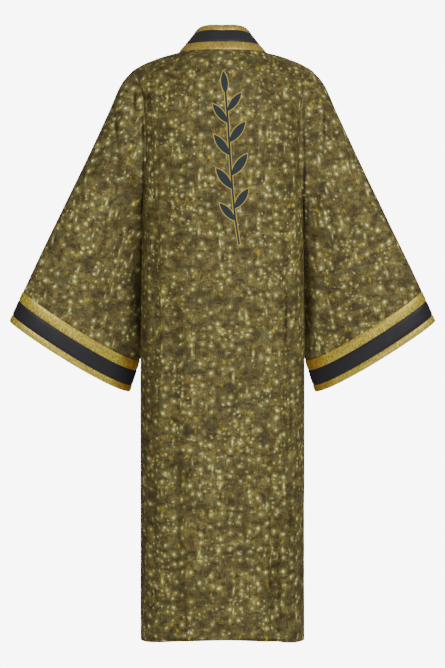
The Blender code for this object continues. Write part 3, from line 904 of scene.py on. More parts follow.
def inside_of(rows, around):
    """A place inside the robe or the sleeve, level with the middle of these rows."""
    ring = rows[len(rows) // 2]
    return sum(ring, Vector()) / len(ring) if around else Vector((0.0, 0.0, ring[0].z))


def shared_normals(surfaces):
    """Outward normals by place. Points on a seam get one normal from all the panels that meet there."""
    found = {}
    for rows, around, inside in surfaces:
        own = []
        count = len(rows[0])
        for above, below in zip(rows, rows[1:]):
            for j in range(count if around else count - 1):
                k = (j + 1) % count
                corners = [above[j], above[k], below[k], below[j]]
                own += zip(corners, corner_normals(corners))
        middle, normal = own[len(own) // 2]
        sign = math.copysign(1.0, normal.dot(middle - inside))
        for point, normal in own:
            key = key_of(point)
            found[key] = found.get(key, Vector()) + normal * sign
    return {key: normal.normalized() for key, normal in found.items()}


def sunk(rows, seams, normals, rise):
    """The grid with its seam edges sunk a little. rise says how far each row between them stands out."""
    edges = {"first_row": 0, "last_row": len(rows) - 1, "first_column": 0, "last_column": len(rows[0]) - 1}
    sewn_rows = [edges[seam] for seam in seams if seam.endswith("row")]
    sewn_columns = [edges[seam] for seam in seams if seam.endswith("column")]
    moved = []
    for i, row in enumerate(rows):
        line = []
        for j, point in enumerate(row):
            out = -SEAM_SINK if i in sewn_rows or j in sewn_columns else rise[i]
            line.append(point + normals[key_of(point)] * out)
        moved.append(line)
    return moved


def sew_shell(name, rows, shown, normals, thick, cloths, places, around=False):
    """One closed shell of cloth. Its outer face runs through the shown points, and its inner face lies inside
    the grid. places holds the flat place of each point of the grid on the cloth, in metres, and a second such
    table for the front half where the cloth is opened."""
    bm = bmesh.new()
    flat = bm.loops.layers.uv.new("cloth")
    count, last = len(rows[0]), len(rows) - 1
    outer = [[bm.verts.new(point) for point in row] for row in shown]
    inner = [[bm.verts.new(point - normals[key_of(point)] * thick) for point in row] for row in rows]

    def face(corners, spots, cloth=0):
        made = bm.faces.new(corners)
        made.material_index = cloth
        made.smooth = True
        for loop, spot in zip(made.loops, spots):
            loop[flat].uv = spot

    columns = [(j, (j + 1) % count, places[-1 if j >= count // 2 else 0]) for j in range(count)]
    if not around:
        columns.pop()
    for i in range(last):
        for j, k, table in columns:
            a, b, c, d = table[i][j], table[i][j + 1], table[i + 1][j + 1], table[i + 1][j]
            face((outer[i][j], outer[i][k], outer[i + 1][k], outer[i + 1][j]), (a, b, c, d))
            face((inner[i][j], inner[i + 1][j], inner[i + 1][k], inner[i][k]), (a, d, c, b), 1)
    for i in (0, last):
        for j, k, table in columns:
            near, far = table[i][j], table[i][j + 1]
            face((outer[i][j], outer[i][k], inner[i][k], inner[i][j]), (near, far, far, near))
    for j in () if around else (0, count - 1):
        for i in range(last):
            near, far = places[0][i][j], places[0][i + 1][j]
            face((outer[i][j], outer[i + 1][j], inner[i + 1][j], inner[i][j]), (near, far, far, near))
    bmesh.ops.recalc_face_normals(bm, faces=bm.faces)
    mesh = bpy.data.meshes.new(name)
    bm.to_mesh(mesh)
    bm.free()
    mesh.set_sharp_from_angle(angle=math.radians(CRISP_EDGE))
    for cloth in cloths:
        mesh.materials.append(cloth)
    return put(name, mesh)


def torso_places(rows, start_column, turn, shift):
    """The flat places of a torso panel: across from one column, and down from the chest."""
    columns = [lengths_along(column) for column in zip(*rows)]
    chest = min(range(len(rows)), key=lambda i: abs(rows[i][start_column].z - CHEST_Z))
    table = []
    for i, row in enumerate(rows):
        reach = lengths_along(row)
        across = [(length - reach[start_column]) * turn for length in reach]
        down = [column[i] - column[chest] for column in columns]
        table.append([(shift[0] + out, shift[1] + CHEST_Z - low) for out, low in zip(across, down)])
    return [table]


def ring_places(rows, shift):
    """The flat places of a strip of the cuff, opened under the arm: across from the upper edge both ways."""
    columns = [lengths_along(column) for column in zip(*rows)]
    columns.append(columns[0])
    rings = [lengths_along(row + row[:1]) for row in rows]

    def table(opened):
        return [
            [(shift[0] + out - opened * ring[-1], shift[1] - low[i]) for out, low in zip(ring, columns)]
            for i, ring in enumerate(rings)
        ]

    return [table(0), table(1)]


def sleeve_places(rows, shift, lean):
    """The flat places of a sleeve as it hangs, opened under the arm. The cloth that bulges back or forward is
    laid down along the ring, and the front half is turned over at the line of the upper edge, where the cloth
    that bulges along the sleeve is laid down too. The print leans by lean, in radians."""
    count = len(rows[0])
    half = count // 2
    top, low = (Vector((rows[i][0].x, rows[i][0].z)) for i in (len(rows) // 3, -1))
    down_edge = (low - top).normalized()
    places = []
    for columns in (range(half + 1), range(count, half - 1, -1)):
        table = []
        above, slack = rows[0], [0.0] * (count + 1)
        for row in rows:
            way = Vector((row[half].x - row[0].x, row[half].z - row[0].z)).normalized()
            line, bulge, before = {}, 0.0, row[0]
            for j in columns:
                point = row[j % count]
                step = point - before
                bulge += step.length - math.hypot(step.x, step.z)
                spot = Vector((point.x, point.z)) + way * bulge
                if places:
                    # the front half, which comes second
                    run = point - above[j % count]
                    slack[j] += run.length - math.hypot(run.x, run.z)
                    from_top = spot - top
                    along = 2.0 * from_top.dot(down_edge) + slack[j] - slack[count]
                    spot = top + along * down_edge - from_top
                across = spot.x * math.cos(lean) + spot.y * math.sin(lean)
                down = spot.y * math.cos(lean) - spot.x * math.sin(lean)
                line[j] = (shift[0] + across, shift[1] + down)
                before = point
            table.append(line)
            above = row
        places.append(table)
    return places


def strip_places(rows, shift):
    """The flat places of a strip of the neck band: along it and across it."""
    along = lengths_along(rows[len(rows) // 2])
    across = lengths_along([row[len(row) // 2] for row in rows])
    return [[[(shift[0] + reach, shift[1] + out) for reach in along] for out in across]]


# Nodes for the finishes

WHITE = (1.0, 1.0, 1.0, 1.0)


def tone(red, green, blue):
    """A colour as the eye reads it, 0 to 255, in the values that the shader takes."""
    seen = [value / 255.0 for value in (red, green, blue)]
    light = [value / 12.92 if value <= 0.04045 else ((value + 0.055) / 1.055) ** 2.4 for value in seen]
    return (*light, 1.0)


def add_node(tree, kind, values=None, **settings):
    """A new node. Its inputs are named or numbered, and each takes a plain value or another node's output."""
    made = tree.nodes.new(kind)
    for name, value in settings.items():
        setattr(made, name, value)
    for name, value in (values or {}).items():
        if isinstance(value, bpy.types.NodeSocket):
            tree.links.new(value, made.inputs[name])
        else:
            made.inputs[name].default_value = value
    return made


def maths(tree, operation, *values):
    return add_node(tree, "ShaderNodeMath", dict(enumerate(values)), operation=operation).outputs[0]


def place_maths(tree, operation, *values):
    """Maths on places. A length comes back as a number."""
    made = add_node(tree, "ShaderNodeVectorMath", dict(enumerate(values)), operation=operation)
    return made.outputs["Value" if operation == "LENGTH" else "Vector"]


def seen_from(tree, place, middle, turned, size=(1.0, 1.0, 1.0)):
    """A place measured from this middle, in directions turned by these angles and in these sizes."""
    values = {0: place, 1: middle, 2: turned, 3: size}
    return add_node(tree, "ShaderNodeMapping", values, vector_type="TEXTURE").outputs[0]


def stretched(tree, place, across, down, shift=(0.0, 0.0)):
    """The flat place with its two directions stretched, and shifted."""
    return place_maths(tree, "MULTIPLY_ADD", place, (across, down, 0.0), (*shift, 0.0))


def cloudy(tree, place, across, down, shift=(0.0, 0.0), detail=2.0, roughness=0.5, output=0):
    """Soft random patches, from 0 to 1, so many in a metre across and down."""
    place = stretched(tree, place, across, down, shift)
    values = {"Vector": place, "Scale": 1.0, "Detail": detail, "Roughness": roughness}
    return add_node(tree, "ShaderNodeTexNoise", values, noise_dimensions="2D").outputs[output]


def stepped(tree, value, low, high, start=0.0, end=1.0):
    """A smooth step from start to end as the value goes from low to high."""
    values = {"Value": value, "From Min": low, "From Max": high, "To Min": start, "To Max": end}
    return add_node(tree, "ShaderNodeMapRange", values, interpolation_type="SMOOTHSTEP").outputs[0]


def layered(tree, share, under, over, blend="MIX"):
    """One colour laid over another."""
    made = add_node(tree, "ShaderNodeMix", {0: share, 6: under, 7: over}, data_type="RGBA", blend_type=blend)
    return made.outputs[2]


# A tone laid over a cloth in soft random patches: how many in a metre across and down, where they start,
# their detail and roughness, and the part of the noise over which the tone's share goes from start to end
Patches = namedtuple("Patches", "tone across down shift detail roughness low high start end")


def patched(tree, place, colour, layers):
    """A colour with layers of patches over it."""
    for layer in layers:
        share = stepped(tree, cloudy(tree, place, *layer[1:6]), *layer[6:])
        colour = layered(tree, share, colour, layer.tone)
    return colour


SHEEN = tone(170, 150, 90)

# The part of a noise's values, which crowd round a half, that is stretched to the whole
NOISE_SPAN = (0.3, 0.7)


def new_finish(name, roughness, metallic=0.0, sheen=0.0, specular=0.5):
    """A new material, its nodes and its shader."""
    material = bpy.data.materials.new(name)
    material.use_nodes = True
    shader = material.node_tree.nodes["Principled BSDF"]
    values = {
        "Roughness": roughness,
        "Metallic": metallic,
        "Sheen Weight": sheen,
        "Sheen Roughness": 0.5,
        "Sheen Tint": SHEEN,
        "Specular IOR Level": specular,
    }
    for socket, value in values.items():
        shader.inputs[socket].default_value = value
    return material, material.node_tree, shader


def flat_place(tree):
    return add_node(tree, "ShaderNodeUVMap", uv_map="cloth").outputs[0]


def finish(tree, shader, colour, height, distance, strength, roughness=None):
    """Join a finish's colour, its roughness and the fine rise and fall of its surface to the shader."""
    tree.links.new(colour, shader.inputs["Base Color"])
    if roughness:
        tree.links.new(roughness, shader.inputs["Roughness"])
    bump = add_node(tree, "ShaderNodeBump", {"Height": height, "Distance": distance, "Strength": strength})
    tree.links.new(bump.outputs[0], shader.inputs["Normal"])


# The scale at which a wave texture has one wave in a metre
ONE_WAVE = 0.314


def woven(tree, place, soft, threads_per_metre, slant, depth):
    """The rise and fall of a fine weave, this deep, on softer waves of the cloth."""
    waves = []
    for spot, direction in ((stretched(tree, place, 1.0, slant), "X"), (place, "Y")):
        values = {"Vector": spot, "Scale": threads_per_metre * ONE_WAVE, "Distortion": 0.0}
        waves.append(add_node(tree, "ShaderNodeTexWave", values, bands_direction=direction).outputs[1])
    return maths(tree, "MULTIPLY_ADD", maths(tree, "MULTIPLY", *waves), depth, soft)


# The olive print

# The print's tones, from its ground up to its glowing dots
GROUND_DARK = tone(76, 68, 44)
GROUND = tone(106, 97, 56)
GROUND_LIGHT = tone(137, 128, 70)
WARM = tone(126, 105, 50)
GREEN_GREY = tone(94, 97, 64)
SMUDGE = tone(50, 43, 30)
YELLOW = tone(178, 158, 40)
HALO = tone(163, 155, 80)
DOT = tone(252, 253, 196)

GROUND_PATCHES = [
    Patches(GROUND, 42.0, 52.0, (0.0, 0.0), 4.0, 0.68, 0.34, 0.58, 0.0, 1.0),
    Patches(GROUND_LIGHT, 42.0, 52.0, (0.0, 0.0), 4.0, 0.68, 0.52, 0.72, 0.0, 1.0),
    Patches(WARM, 64.0, 84.0, (4.0, 1.0), 3.0, 0.6, 0.50, 0.72, 0.0, 0.60),
    Patches(GREEN_GREY, 30.0, 36.0, (9.0, 5.0), 2.0, 0.5, 0.52, 0.74, 0.0, 0.55),
    Patches(SMUDGE, 46.0, 120.0, (2.0, 8.0), 3.0, 0.6, 0.54, 0.74, 0.0, 0.70),
    Patches(YELLOW, 50.0, 42.0, (6.0, 3.0), 2.0, 0.6, 0.63, 0.82, 0.0, 0.90),
]

# Smudges over the dots: wide ones, the grain of the cloth and its threads
SMUDGES = [
    Patches(SMUDGE, 15.0, 24.0, (8.0, 8.0), 2.0, 0.5, 0.34, 0.58, 0.40, 0.0),
    Patches(SMUDGE, 330.0, 260.0, (5.0, 5.0), 2.0, 0.6, 0.30, 0.56, 0.42, 0.0),
    Patches(SMUDGE, 420.0, 60.0, (0.0, 0.0), 1.0, 0.5, 0.25, 0.62, 0.36, 0.0),
]

# Dots: cells in a metre across and down, the share of cells that glow, the radius of the bright core and of
# the halo in cells, the strength of each, and whether they keep to clusters
DotLayer = namedtuple("DotLayer", "across down chosen core halo core_strength halo_strength clustered shift")
DOT_LAYERS = [
    DotLayer(46.0, 48.0, 0.82, 0.2, 0.5, 0.98, 0.88, False, (3.1, 7.7)),
    DotLayer(76.0, 78.0, 0.62, 0.22, 0.5, 0.74, 0.74, True, (11.3, 2.9)),
    DotLayer(108.0, 108.0, 0.16, 0.26, 0.46, 0.56, 0.4, True, (23.7, 19.1)),
    DotLayer(66.0, 19.0, 0.2, 0.17, 0.42, 0.9, 0.82, False, (5.9, 13.7)),
]

# How far the dots stray from an even grid, and how near its middle a halo is brightest, in cells
DOT_RANDOMNESS = 0.92
HALO_MIDDLE = 0.04

# Where the smaller dots gather: patches across and down a metre, where they start and their detail, and the
# part of the noise that is a cluster's soft edge
CLUSTERS = (15.0, 13.0, (1.0, 6.0), 1.0)
CLUSTER_EDGE = (0.46, 0.56)

# The print's lines wander by up to about this far, this often in a metre
DRIFT = 0.009
DRIFTS_PER_METRE = 26.0


def dots(tree, place, layer):
    """Distance to the middle of the nearest random dot, and how bright that dot is."""
    spot = stretched(tree, place, layer.across, layer.down, layer.shift)
    values = {"Vector": spot, "Scale": 1.0, "Randomness": DOT_RANDOMNESS}
    cells = add_node(tree, "ShaderNodeTexVoronoi", values, voronoi_dimensions="2D", feature="F1")
    parts = add_node(tree, "ShaderNodeSeparateColor", {0: cells.outputs["Color"]})
    return cells.outputs["Distance"], stepped(tree, parts.outputs[0], 1.0 - layer.chosen, 1.0)


def print_colour(tree, place):
    """The mottled olive print with its soft glowing dots."""
    drift = cloudy(tree, place, DRIFTS_PER_METRE, DRIFTS_PER_METRE, detail=1.0, output="Color")
    place = place_maths(tree, "MULTIPLY_ADD", drift, (DRIFT, DRIFT, 0.0), place)
    colour = patched(tree, place, GROUND_DARK, GROUND_PATCHES)
    cluster = stepped(tree, cloudy(tree, place, *CLUSTERS), *CLUSTER_EDGE)
    for layer in DOT_LAYERS:
        away, bright = dots(tree, place, layer)
        if layer.clustered:
            bright = maths(tree, "MULTIPLY", bright, cluster)
        halo = stepped(tree, away, layer.halo, HALO_MIDDLE, 0.0, layer.halo_strength)
        colour = layered(tree, maths(tree, "MULTIPLY", halo, bright), colour, HALO)
        core = stepped(tree, away, layer.core, 0.0, 0.0, layer.core_strength)
        colour = layered(tree, maths(tree, "MULTIPLY", core, bright), colour, DOT)
    return patched(tree, place, colour, SMUDGES)


# The spray of leaves on the back

# The stem, from its tip down: points of a slightly curved line on the flat cloth
StemPoint = namedtuple("StemPoint", "across down")
STEM = [
    StemPoint(-0.002, -0.098),
    StemPoint(-0.008, -0.17),
    StemPoint(-0.0125, -0.245),
    StemPoint(-0.018, -0.32),
    StemPoint(-0.024, -0.385),
    StemPoint(-0.033, -0.444),
]

# Each leaf: how far down its foot is on the stem, its half length, its half width and its slant. A leaf with
# a slant above 0 grows towards the wearer's right.
LEAVES = [
    (-0.108, 0.0265, 0.0078, -7),
    (-0.148, 0.027, 0.008, 36),
    (-0.174, 0.028, 0.0084, -38),
    (-0.218, 0.03, 0.0094, 37),
    (-0.247, 0.03, 0.0092, -37),
    (-0.292, 0.0305, 0.0098, 36),
    (-0.322, 0.03, 0.0094, -38),
    (-0.366, 0.028, 0.009, 35),
    (-0.393, 0.027, 0.0082, -42),
]

# Half the stem's width, the width of the gold line round leaves and stem, and how softly their edges end
STEM_HALF_WIDTH = 0.0022
GOLD_LINE = 0.0015
SOFT_EDGE = 0.0004

SLATE = tone(43, 53, 59)
LEAF_GOLD = tone(184, 156, 60)
SLATE_GRAIN = [Patches(SMUDGE, 300.0, 300.0, (0.0, 0.0), 2.0, 0.5, 0.3, 0.7, 0.0, 0.25)]


def turned_place(tree, place, across, down, slant):
    """The flat place seen from the middle of a leaf, along it."""
    return place_maths(tree, "ABSOLUTE", seen_from(tree, place, (across, down, 0.0), (0.0, 0.0, slant)))


def leaf_distance(tree, place, foot, half_length, half_width, slant):
    """How far a place lies outside a leaf, which two arcs enclose."""
    upper, lower = next(run for run in zip(STEM, STEM[1:]) if foot >= run[1].down)
    stem_across = between(upper.across, lower.across, (foot - upper.down) / (lower.down - upper.down))
    slant = math.radians(slant)
    across, down = stem_across - math.sin(slant) * half_length, foot + math.cos(slant) * half_length
    radius = (half_length**2 + half_width**2) / (2 * half_width)
    own = turned_place(tree, place, across, down, slant)
    from_centre = place_maths(tree, "ADD", own, (radius - half_width, 0.0, 0.0))
    return maths(tree, "SUBTRACT", place_maths(tree, "LENGTH", from_centre), radius)


def stem_distance(tree, place, upper, lower):
    """How far a place lies outside one straight run of the stem."""
    across, down = upper.across - lower.across, upper.down - lower.down
    middle = ((upper.across + lower.across) / 2, (upper.down + lower.down) / 2)
    own = turned_place(tree, place, *middle, math.atan2(-across, down))
    beyond = place_maths(tree, "SUBTRACT", own, (0.0, math.hypot(across, down) / 2, 0.0))
    outside = place_maths(tree, "MAXIMUM", beyond, (0.0, 0.0, 0.0))
    return maths(tree, "SUBTRACT", place_maths(tree, "LENGTH", outside), STEM_HALF_WIDTH)


def with_leaves(tree, place, colour):
    """The print with the slate leaves and their thin gold edge."""
    found = [leaf_distance(tree, place, *leaf) for leaf in LEAVES]
    found += [stem_distance(tree, place, upper, lower) for upper, lower in zip(STEM, STEM[1:])]
    nearest = reduce(lambda near, other: maths(tree, "MINIMUM", near, other), found)
    slate = patched(tree, place, SLATE, SLATE_GRAIN)
    for edge, over in ((GOLD_LINE, LEAF_GOLD), (0.0, slate)):
        share = stepped(tree, nearest, edge - SOFT_EDGE, edge + SOFT_EDGE, 1.0, 0.0)
        colour = layered(tree, share, colour, over)
    return colour


# Painted shade along lines seen from behind, with a slight dip of the bump: the shade of fine folds beside
# the seams, of the dark nooks under the arms, of the body's shaded sides and of the hem's fold. Each line
# gives the x and z where it begins and ends, its half width and how much painted shade it lays on the cloth
BACK_PAINTED_SHADE_FOLDS = [
    (0.168, -0.085, 0.167, -0.145, 0.0065, 0.7),
    (0.16, -0.4, 0.162, -1.2, 0.029, 0.24),
    (0.133, -0.61, 0.14, -0.685, 0.0055, 0.58),
    (0.143, -0.735, 0.147, -0.895, 0.006, 0.55),
    (0.158, -0.57, 0.156, -0.73, 0.005, 0.4),
    (0.177, -0.725, 0.176, -0.885, 0.006, 0.45),
    (0.162, -0.885, 0.165, -1.06, 0.0055, 0.4),
    (0.179, -1.015, 0.178, -1.355, 0.009, 0.42),
    (-0.143, -0.535, -0.142, -0.695, 0.0055, 0.75),
    (-0.153, -0.705, -0.154, -0.92, 0.006, 0.6),
    (-0.156, -0.95, -0.149, -1.15, 0.0055, 0.45),
    (-0.119, -1.015, -0.121, -1.365, 0.019, 0.46),
    (-0.113, -1.12, -0.123, -1.27, 0.006, 0.5),
    (-0.181, -0.97, -0.182, -1.355, 0.007, 0.45),
    (0.205, -1.33, -0.03, -1.326, 0.0045, 0.55),
    (0.035, -1.326, -0.205, -1.332, 0.0045, 0.55),
]
SLEEVE_PAINTED_SHADE_FOLDS = [
    (0.199, -0.08, 0.198, -0.15, 0.006, 0.78),
    (0.182, -0.13, 0.178, -0.235, 0.0065, 0.9),
    (0.178, -0.185, 0.181, -0.375, 0.0065, 0.9),
    (0.182, -0.3, 0.183, -0.435, 0.0065, 0.92),
    (0.246, -0.125, 0.236, -0.23, 0.006, 0.66),
    (0.238, -0.275, 0.245, -0.365, 0.006, 0.36),
    (0.194, -0.11, 0.189, -0.41, 0.02, 0.2),
    (0.185, -0.395, 0.189, -0.53, 0.008, 0.8),
    (0.189, -0.455, 0.197, -0.74, 0.017, 0.72),
    (-0.185, -0.11, -0.184, -0.17, 0.006, 0.65),
    (-0.184, -0.155, -0.187, -0.265, 0.006, 0.75),
    (-0.187, -0.205, -0.185, -0.375, 0.0065, 0.92),
    (-0.185, -0.29, -0.187, -0.445, 0.007, 0.95),
    (-0.194, -0.305, -0.196, -0.42, 0.005, 0.62),
    (-0.23, -0.115, -0.231, -0.22, 0.006, 0.75),
    (-0.243, -0.145, -0.266, -0.24, 0.0075, 0.55),
    (-0.194, -0.12, -0.194, -0.41, 0.02, 0.2),
    (-0.187, -0.395, -0.189, -0.53, 0.008, 0.8),
    (-0.19, -0.35, -0.194, -0.64, 0.013, 0.78),
    (-0.192, -0.455, -0.199, -0.74, 0.0195, 0.88),
]
FRONT_PAINTED_SHADE_FOLDS = [
    (0.16, -0.57, 0.162, -1.15, 0.027, 0.22),
    (0.145, -0.635, 0.149, -0.84, 0.006, 0.55),
    (0.133, -1.15, 0.138, -1.33, 0.006, 0.5),
    (-0.142, -0.635, -0.147, -0.95, 0.006, 0.55),
    (-0.16, -0.86, -0.156, -1.24, 0.02, 0.26),
    (0.205, -1.338, 0.05, -1.338, 0.0045, 0.5),
    (-0.05, -1.338, -0.205, -1.338, 0.0045, 0.5),
]

# A fold's painted shade is at its darkest within this share of its half width, and is painted wherever the
# cloth lies in depth
FOLD_MIDDLE = 0.15
FAR_BEHIND = 1000.0
# The colour of the painted fold shade
PAINTED_FOLD_SHADE = tone(38, 29, 18)


def fold_depth_for_painted_shade(tree, folds):
    """How deep the fine folds are, 0 to 1, for their painted shade and the dip of the bump. Each is deepest
    in its middle and tapers to its ends.
    """
    place = add_node(tree, "ShaderNodeTexCoord").outputs["Object"]
    depths = []
    for x0, z0, x1, z1, half_width, strength in folds:
        middle = ((x0 + x1) / 2, 0.0, (z0 + z1) / 2)
        turned = (0.0, math.atan2(x1 - x0, z1 - z0), 0.0)
        size = (half_width, FAR_BEHIND, math.hypot(x1 - x0, z1 - z0) / 2)
        away = place_maths(tree, "LENGTH", seen_from(tree, place, middle, turned, size))
        depths.append(stepped(tree, away, FOLD_MIDDLE, 1.0, strength, 0.0))
    return reduce(lambda deepest, depth: maths(tree, "MAXIMUM", depth, deepest), depths)


# The reverse of the cloth is duller, because the print comes through it faintly
REVERSE_SHADE = tone(104, 96, 60)
REVERSE_SHARE = 0.55

# The print leans this far with the sleeves, and their print is painted brighter and a little bluer: painted
# light and painted sheen for the brighter light on the sleeves
SLEEVE_LEAN = math.radians(14)
SLEEVE_PAINTED_LIGHT = (1.10, 1.10, 1.15, 1.0)


def printed_cloth(name, leaves=False, reverse=False, painted_sleeve_light=False, folds=()):
    """The printed cloth: with the spray of leaves, as seen from its reverse, with painted light that
    brightens the sleeves' print, and with the fine folds' painted shade.
    """
    material, tree, shader = new_finish(name, roughness=0.62, sheen=0.08, specular=0.06)
    place = flat_place(tree)
    colour = print_colour(tree, place)
    if leaves:
        colour = with_leaves(tree, place, colour)
    if reverse:
        colour = layered(tree, REVERSE_SHARE, colour, REVERSE_SHADE)
    # Painted light and sheen: the sleeves' print is brightened, and a little more in blue
    if painted_sleeve_light:
        colour = layered(tree, 1.0, colour, SLEEVE_PAINTED_LIGHT, "MULTIPLY")
    soft = cloudy(tree, place, 38.0, 16.0, shift=(7.0, 2.0), detail=3.0, roughness=0.55)
    height = woven(tree, place, soft, threads_per_metre=1300.0, slant=0.5, depth=0.10)
    if folds:
        # Painted shade: the fine folds darken the print, and dip its bump a little
        depth = fold_depth_for_painted_shade(tree, folds)
        colour = layered(tree, depth, colour, PAINTED_FOLD_SHADE)
        height = maths(tree, "SUBTRACT", height, depth)
    worn = cloudy(tree, place, 60.0, 60.0, shift=(1.0, 4.0))
    roughness = stepped(tree, worn, *NOISE_SPAN, 0.56, 0.70)
    finish(tree, shader, colour, height, distance=0.0012, strength=0.55, roughness=roughness)
    return material


# The gold and black cloth of the band

GOLD_DARK = tone(124, 96, 30)
GOLD_MID = tone(190, 166, 64)
GOLD_LIGHT = tone(240, 220, 112)
GOLD_TICK = tone(255, 244, 176)
GOLD_DEEP = tone(150, 108, 36)

# How much more of the deep tone the worn patches have than the rest
GOLD_WORN_MORE = 0.32

# Towards the underarm the cuff's gold is painted brown, painted shade and painted reflection of the dark nook
# beside the body, from and to these lengths below the upper edge
GOLD_PAINTED_UNDERARM_SHADE = tone(150, 82, 24)
UNDERARM_SHADE_FROM, UNDERARM_SHADE_TO = 0.280, 0.330
UNDERARM_SHADE_SHARE = 0.62

BLACK = tone(42, 41, 45)
BLACK_WORN = tone(52, 51, 55)


def gold_cloth(name, deep, grain, tint, painted_underarm_shade=False):
    """Gold cloth with metal threads. Its ribs lie across the band. deep says how far its tone is deeper,
    which on the neck is partly painted shade. The last argument paints shade on the gold towards the
    underarm.
    """
    material, tree, shader = new_finish(name, roughness=0.46, metallic=0.35, sheen=0.05)
    place = flat_place(tree)
    threads = cloudy(tree, place, *grain, roughness=0.6)
    colour = layered(tree, stepped(tree, threads, *NOISE_SPAN), GOLD_DARK, GOLD_LIGHT)
    mid = Patches(GOLD_MID, 150.0, 150.0, (3.0, 9.0), 3.0, 0.6, 0.30, 0.70, 0.75, 0.20)
    worn = Patches(GOLD_DEEP, 60.0, 90.0, (2.0, 6.0), 3.0, 0.6, 0.48, 0.72, deep, deep + GOLD_WORN_MORE)
    ticks = Patches(GOLD_TICK, 300.0, 22.0, (8.0, 5.0), 1.0, 0.5, 0.71, 0.79, 0.0, 0.70)
    colour = patched(tree, place, colour, [mid, worn, ticks])
    if painted_underarm_shade:
        # Painted shade and painted reflection: the cuff's gold turns brown towards the underarm
        across = add_node(tree, "ShaderNodeSeparateXYZ", {0: place}).outputs[0]
        under = stepped(tree, maths(tree, "ABSOLUTE", across), UNDERARM_SHADE_FROM, UNDERARM_SHADE_TO, 0.0, UNDERARM_SHADE_SHARE)
        colour = layered(tree, under, colour, GOLD_PAINTED_UNDERARM_SHADE)
    colour = layered(tree, 1.0, colour, tint, "MULTIPLY")
    roughness = stepped(tree, cloudy(tree, place, *mid[1:6]), *NOISE_SPAN, 0.38, 0.54)
    finish(tree, shader, colour, threads, distance=0.0004, strength=0.5, roughness=roughness)
    return material


def black_cloth(name, strength):
    """Smooth black cloth. strength says how light it is and how strong its gloss is. A strength under 1 is
    painted shade, a darker copy of the black.
    """
    material, tree, shader = new_finish(name, roughness=0.5, sheen=0.04, specular=0.28 * strength)
    place = flat_place(tree)
    black = tuple(value * strength for value in BLACK[:3]) + (1.0,)
    worn = Patches(BLACK_WORN, 420.0, 420.0, (0.0, 0.0), 3.0, 0.6, 0.35, 0.75, 0.0, 0.55 * strength)
    soft = cloudy(tree, place, 30.0, 30.0, detail=3.0)
    height = woven(tree, place, soft, threads_per_metre=1500.0, slant=0.6, depth=0.12)
    roughness = stepped(tree, soft, *NOISE_SPAN, 0.44, 0.56)
    colour = patched(tree, place, black, [worn])
    finish(tree, shader, colour, height, distance=0.0010, strength=0.45, roughness=roughness)
    return material


OLIVE_THREAD = tone(96, 86, 50)
GOLD_THREAD = tone(186, 160, 84)
TWISTS_PER_METRE = 2600.0
TWIST_SHADE = 0.7


def thread(name, colour, metallic):
    """Sewing thread, with the fine light and shade of its twist."""
    material, tree, shader = new_finish(name, roughness=0.5, metallic=metallic)
    place = add_node(tree, "ShaderNodeTexCoord").outputs["Object"]
    values = {"Vector": place, "Scale": TWISTS_PER_METRE, "Detail": 1.0}
    twist = add_node(tree, "ShaderNodeTexNoise", values).outputs[0]
    darker = tuple(value * TWIST_SHADE for value in colour[:3]) + (1.0,)
    colour = layered(tree, twist, darker, colour)
    finish(tree, shader, colour, twist, distance=0.0002, strength=0.5)
    return material


# Stitches, made by nodes along a line of points

STITCH_PITCH = 0.0038
STITCH_LENGTH = 0.0026
THREAD_RADIUS = 0.00032

# How flat the thread is pressed, how far it rises from the cloth, and the least and most of a stitch's uneven
# size, along it, across it and out from the cloth
THREAD_FLAT = 0.7
THREAD_RISE = 0.3
STITCH_LEAST = (0.85, 0.9, 0.9)
STITCH_MOST = (1.1, 1.1, 1.1)
STITCH_INPUTS = {
    "Pitch": "Float",
    "Stitch length": "Float",
    "Thread radius": "Float",
    "Thread": "Material",
    "Seed": "Int",
}


def stitch_nodes():
    """Nodes that lay a row of stitches along the edges of a mesh. Each stitch lies along the row and flat on
    the cloth, whose outward direction the mesh keeps with its points."""
    group = bpy.data.node_groups.new("row of stitches", "GeometryNodeTree")
    group.interface.new_socket("Geometry", in_out="INPUT", socket_type="NodeSocketGeometry")
    sockets = {}
    for name, kind in STITCH_INPUTS.items():
        socket = group.interface.new_socket(name, in_out="INPUT", socket_type="NodeSocket" + kind)
        sockets[name] = socket.identifier
    group.interface.new_socket("Geometry", in_out="OUTPUT", socket_type="NodeSocketGeometry")
    given = group.nodes.new("NodeGroupInput").outputs
    result = group.nodes.new("NodeGroupOutput")

    def step(kind, values, output=0, **settings):
        return add_node(group, kind, values, **settings).outputs[output]

    line = step("GeometryNodeMeshToCurve", {"Mesh": given["Geometry"]})
    places = step("GeometryNodeResampleCurve", {"Curve": line, "Length": given["Pitch"]}, mode="LENGTH")
    ball = step("GeometryNodeMeshUVSphere", {"Segments": 6, "Rings": 4, "Radius": given["Thread radius"]})
    longer = maths(group, "DIVIDE", given["Stitch length"], given["Thread radius"])
    size = step("ShaderNodeCombineXYZ", {0: maths(group, "MULTIPLY", longer, 0.5), 1: 1.0, 2: THREAD_FLAT})
    stitch = step("GeometryNodeTransform", {"Geometry": ball, "Scale": size})
    tangent = step("GeometryNodeInputTangent", {})
    kept = {"Name": "outward"}
    outward = step("GeometryNodeInputNamedAttribute", kept, "Attribute", data_type="FLOAT_VECTOR")
    along = step("FunctionNodeAlignRotationToVector", {"Vector": tangent}, axis="X")
    aims = {"Rotation": along, "Vector": outward}
    flat = step("FunctionNodeAlignRotationToVector", aims, axis="Z", pivot_axis="X")
    range_of_sizes = {"Min": STITCH_LEAST, "Max": STITCH_MOST, "Seed": given["Seed"]}
    uneven = step("FunctionNodeRandomValue", range_of_sizes, "Value", data_type="FLOAT_VECTOR")
    laid = {"Points": places, "Instance": stitch, "Rotation": flat, "Scale": uneven}
    real = step("GeometryNodeRealizeInstances", {"Geometry": step("GeometryNodeInstanceOnPoints", laid)})
    coloured = step("GeometryNodeSetMaterial", {"Geometry": real, "Material": given["Thread"]})
    group.links.new(coloured, result.inputs["Geometry"])
    return group, sockets


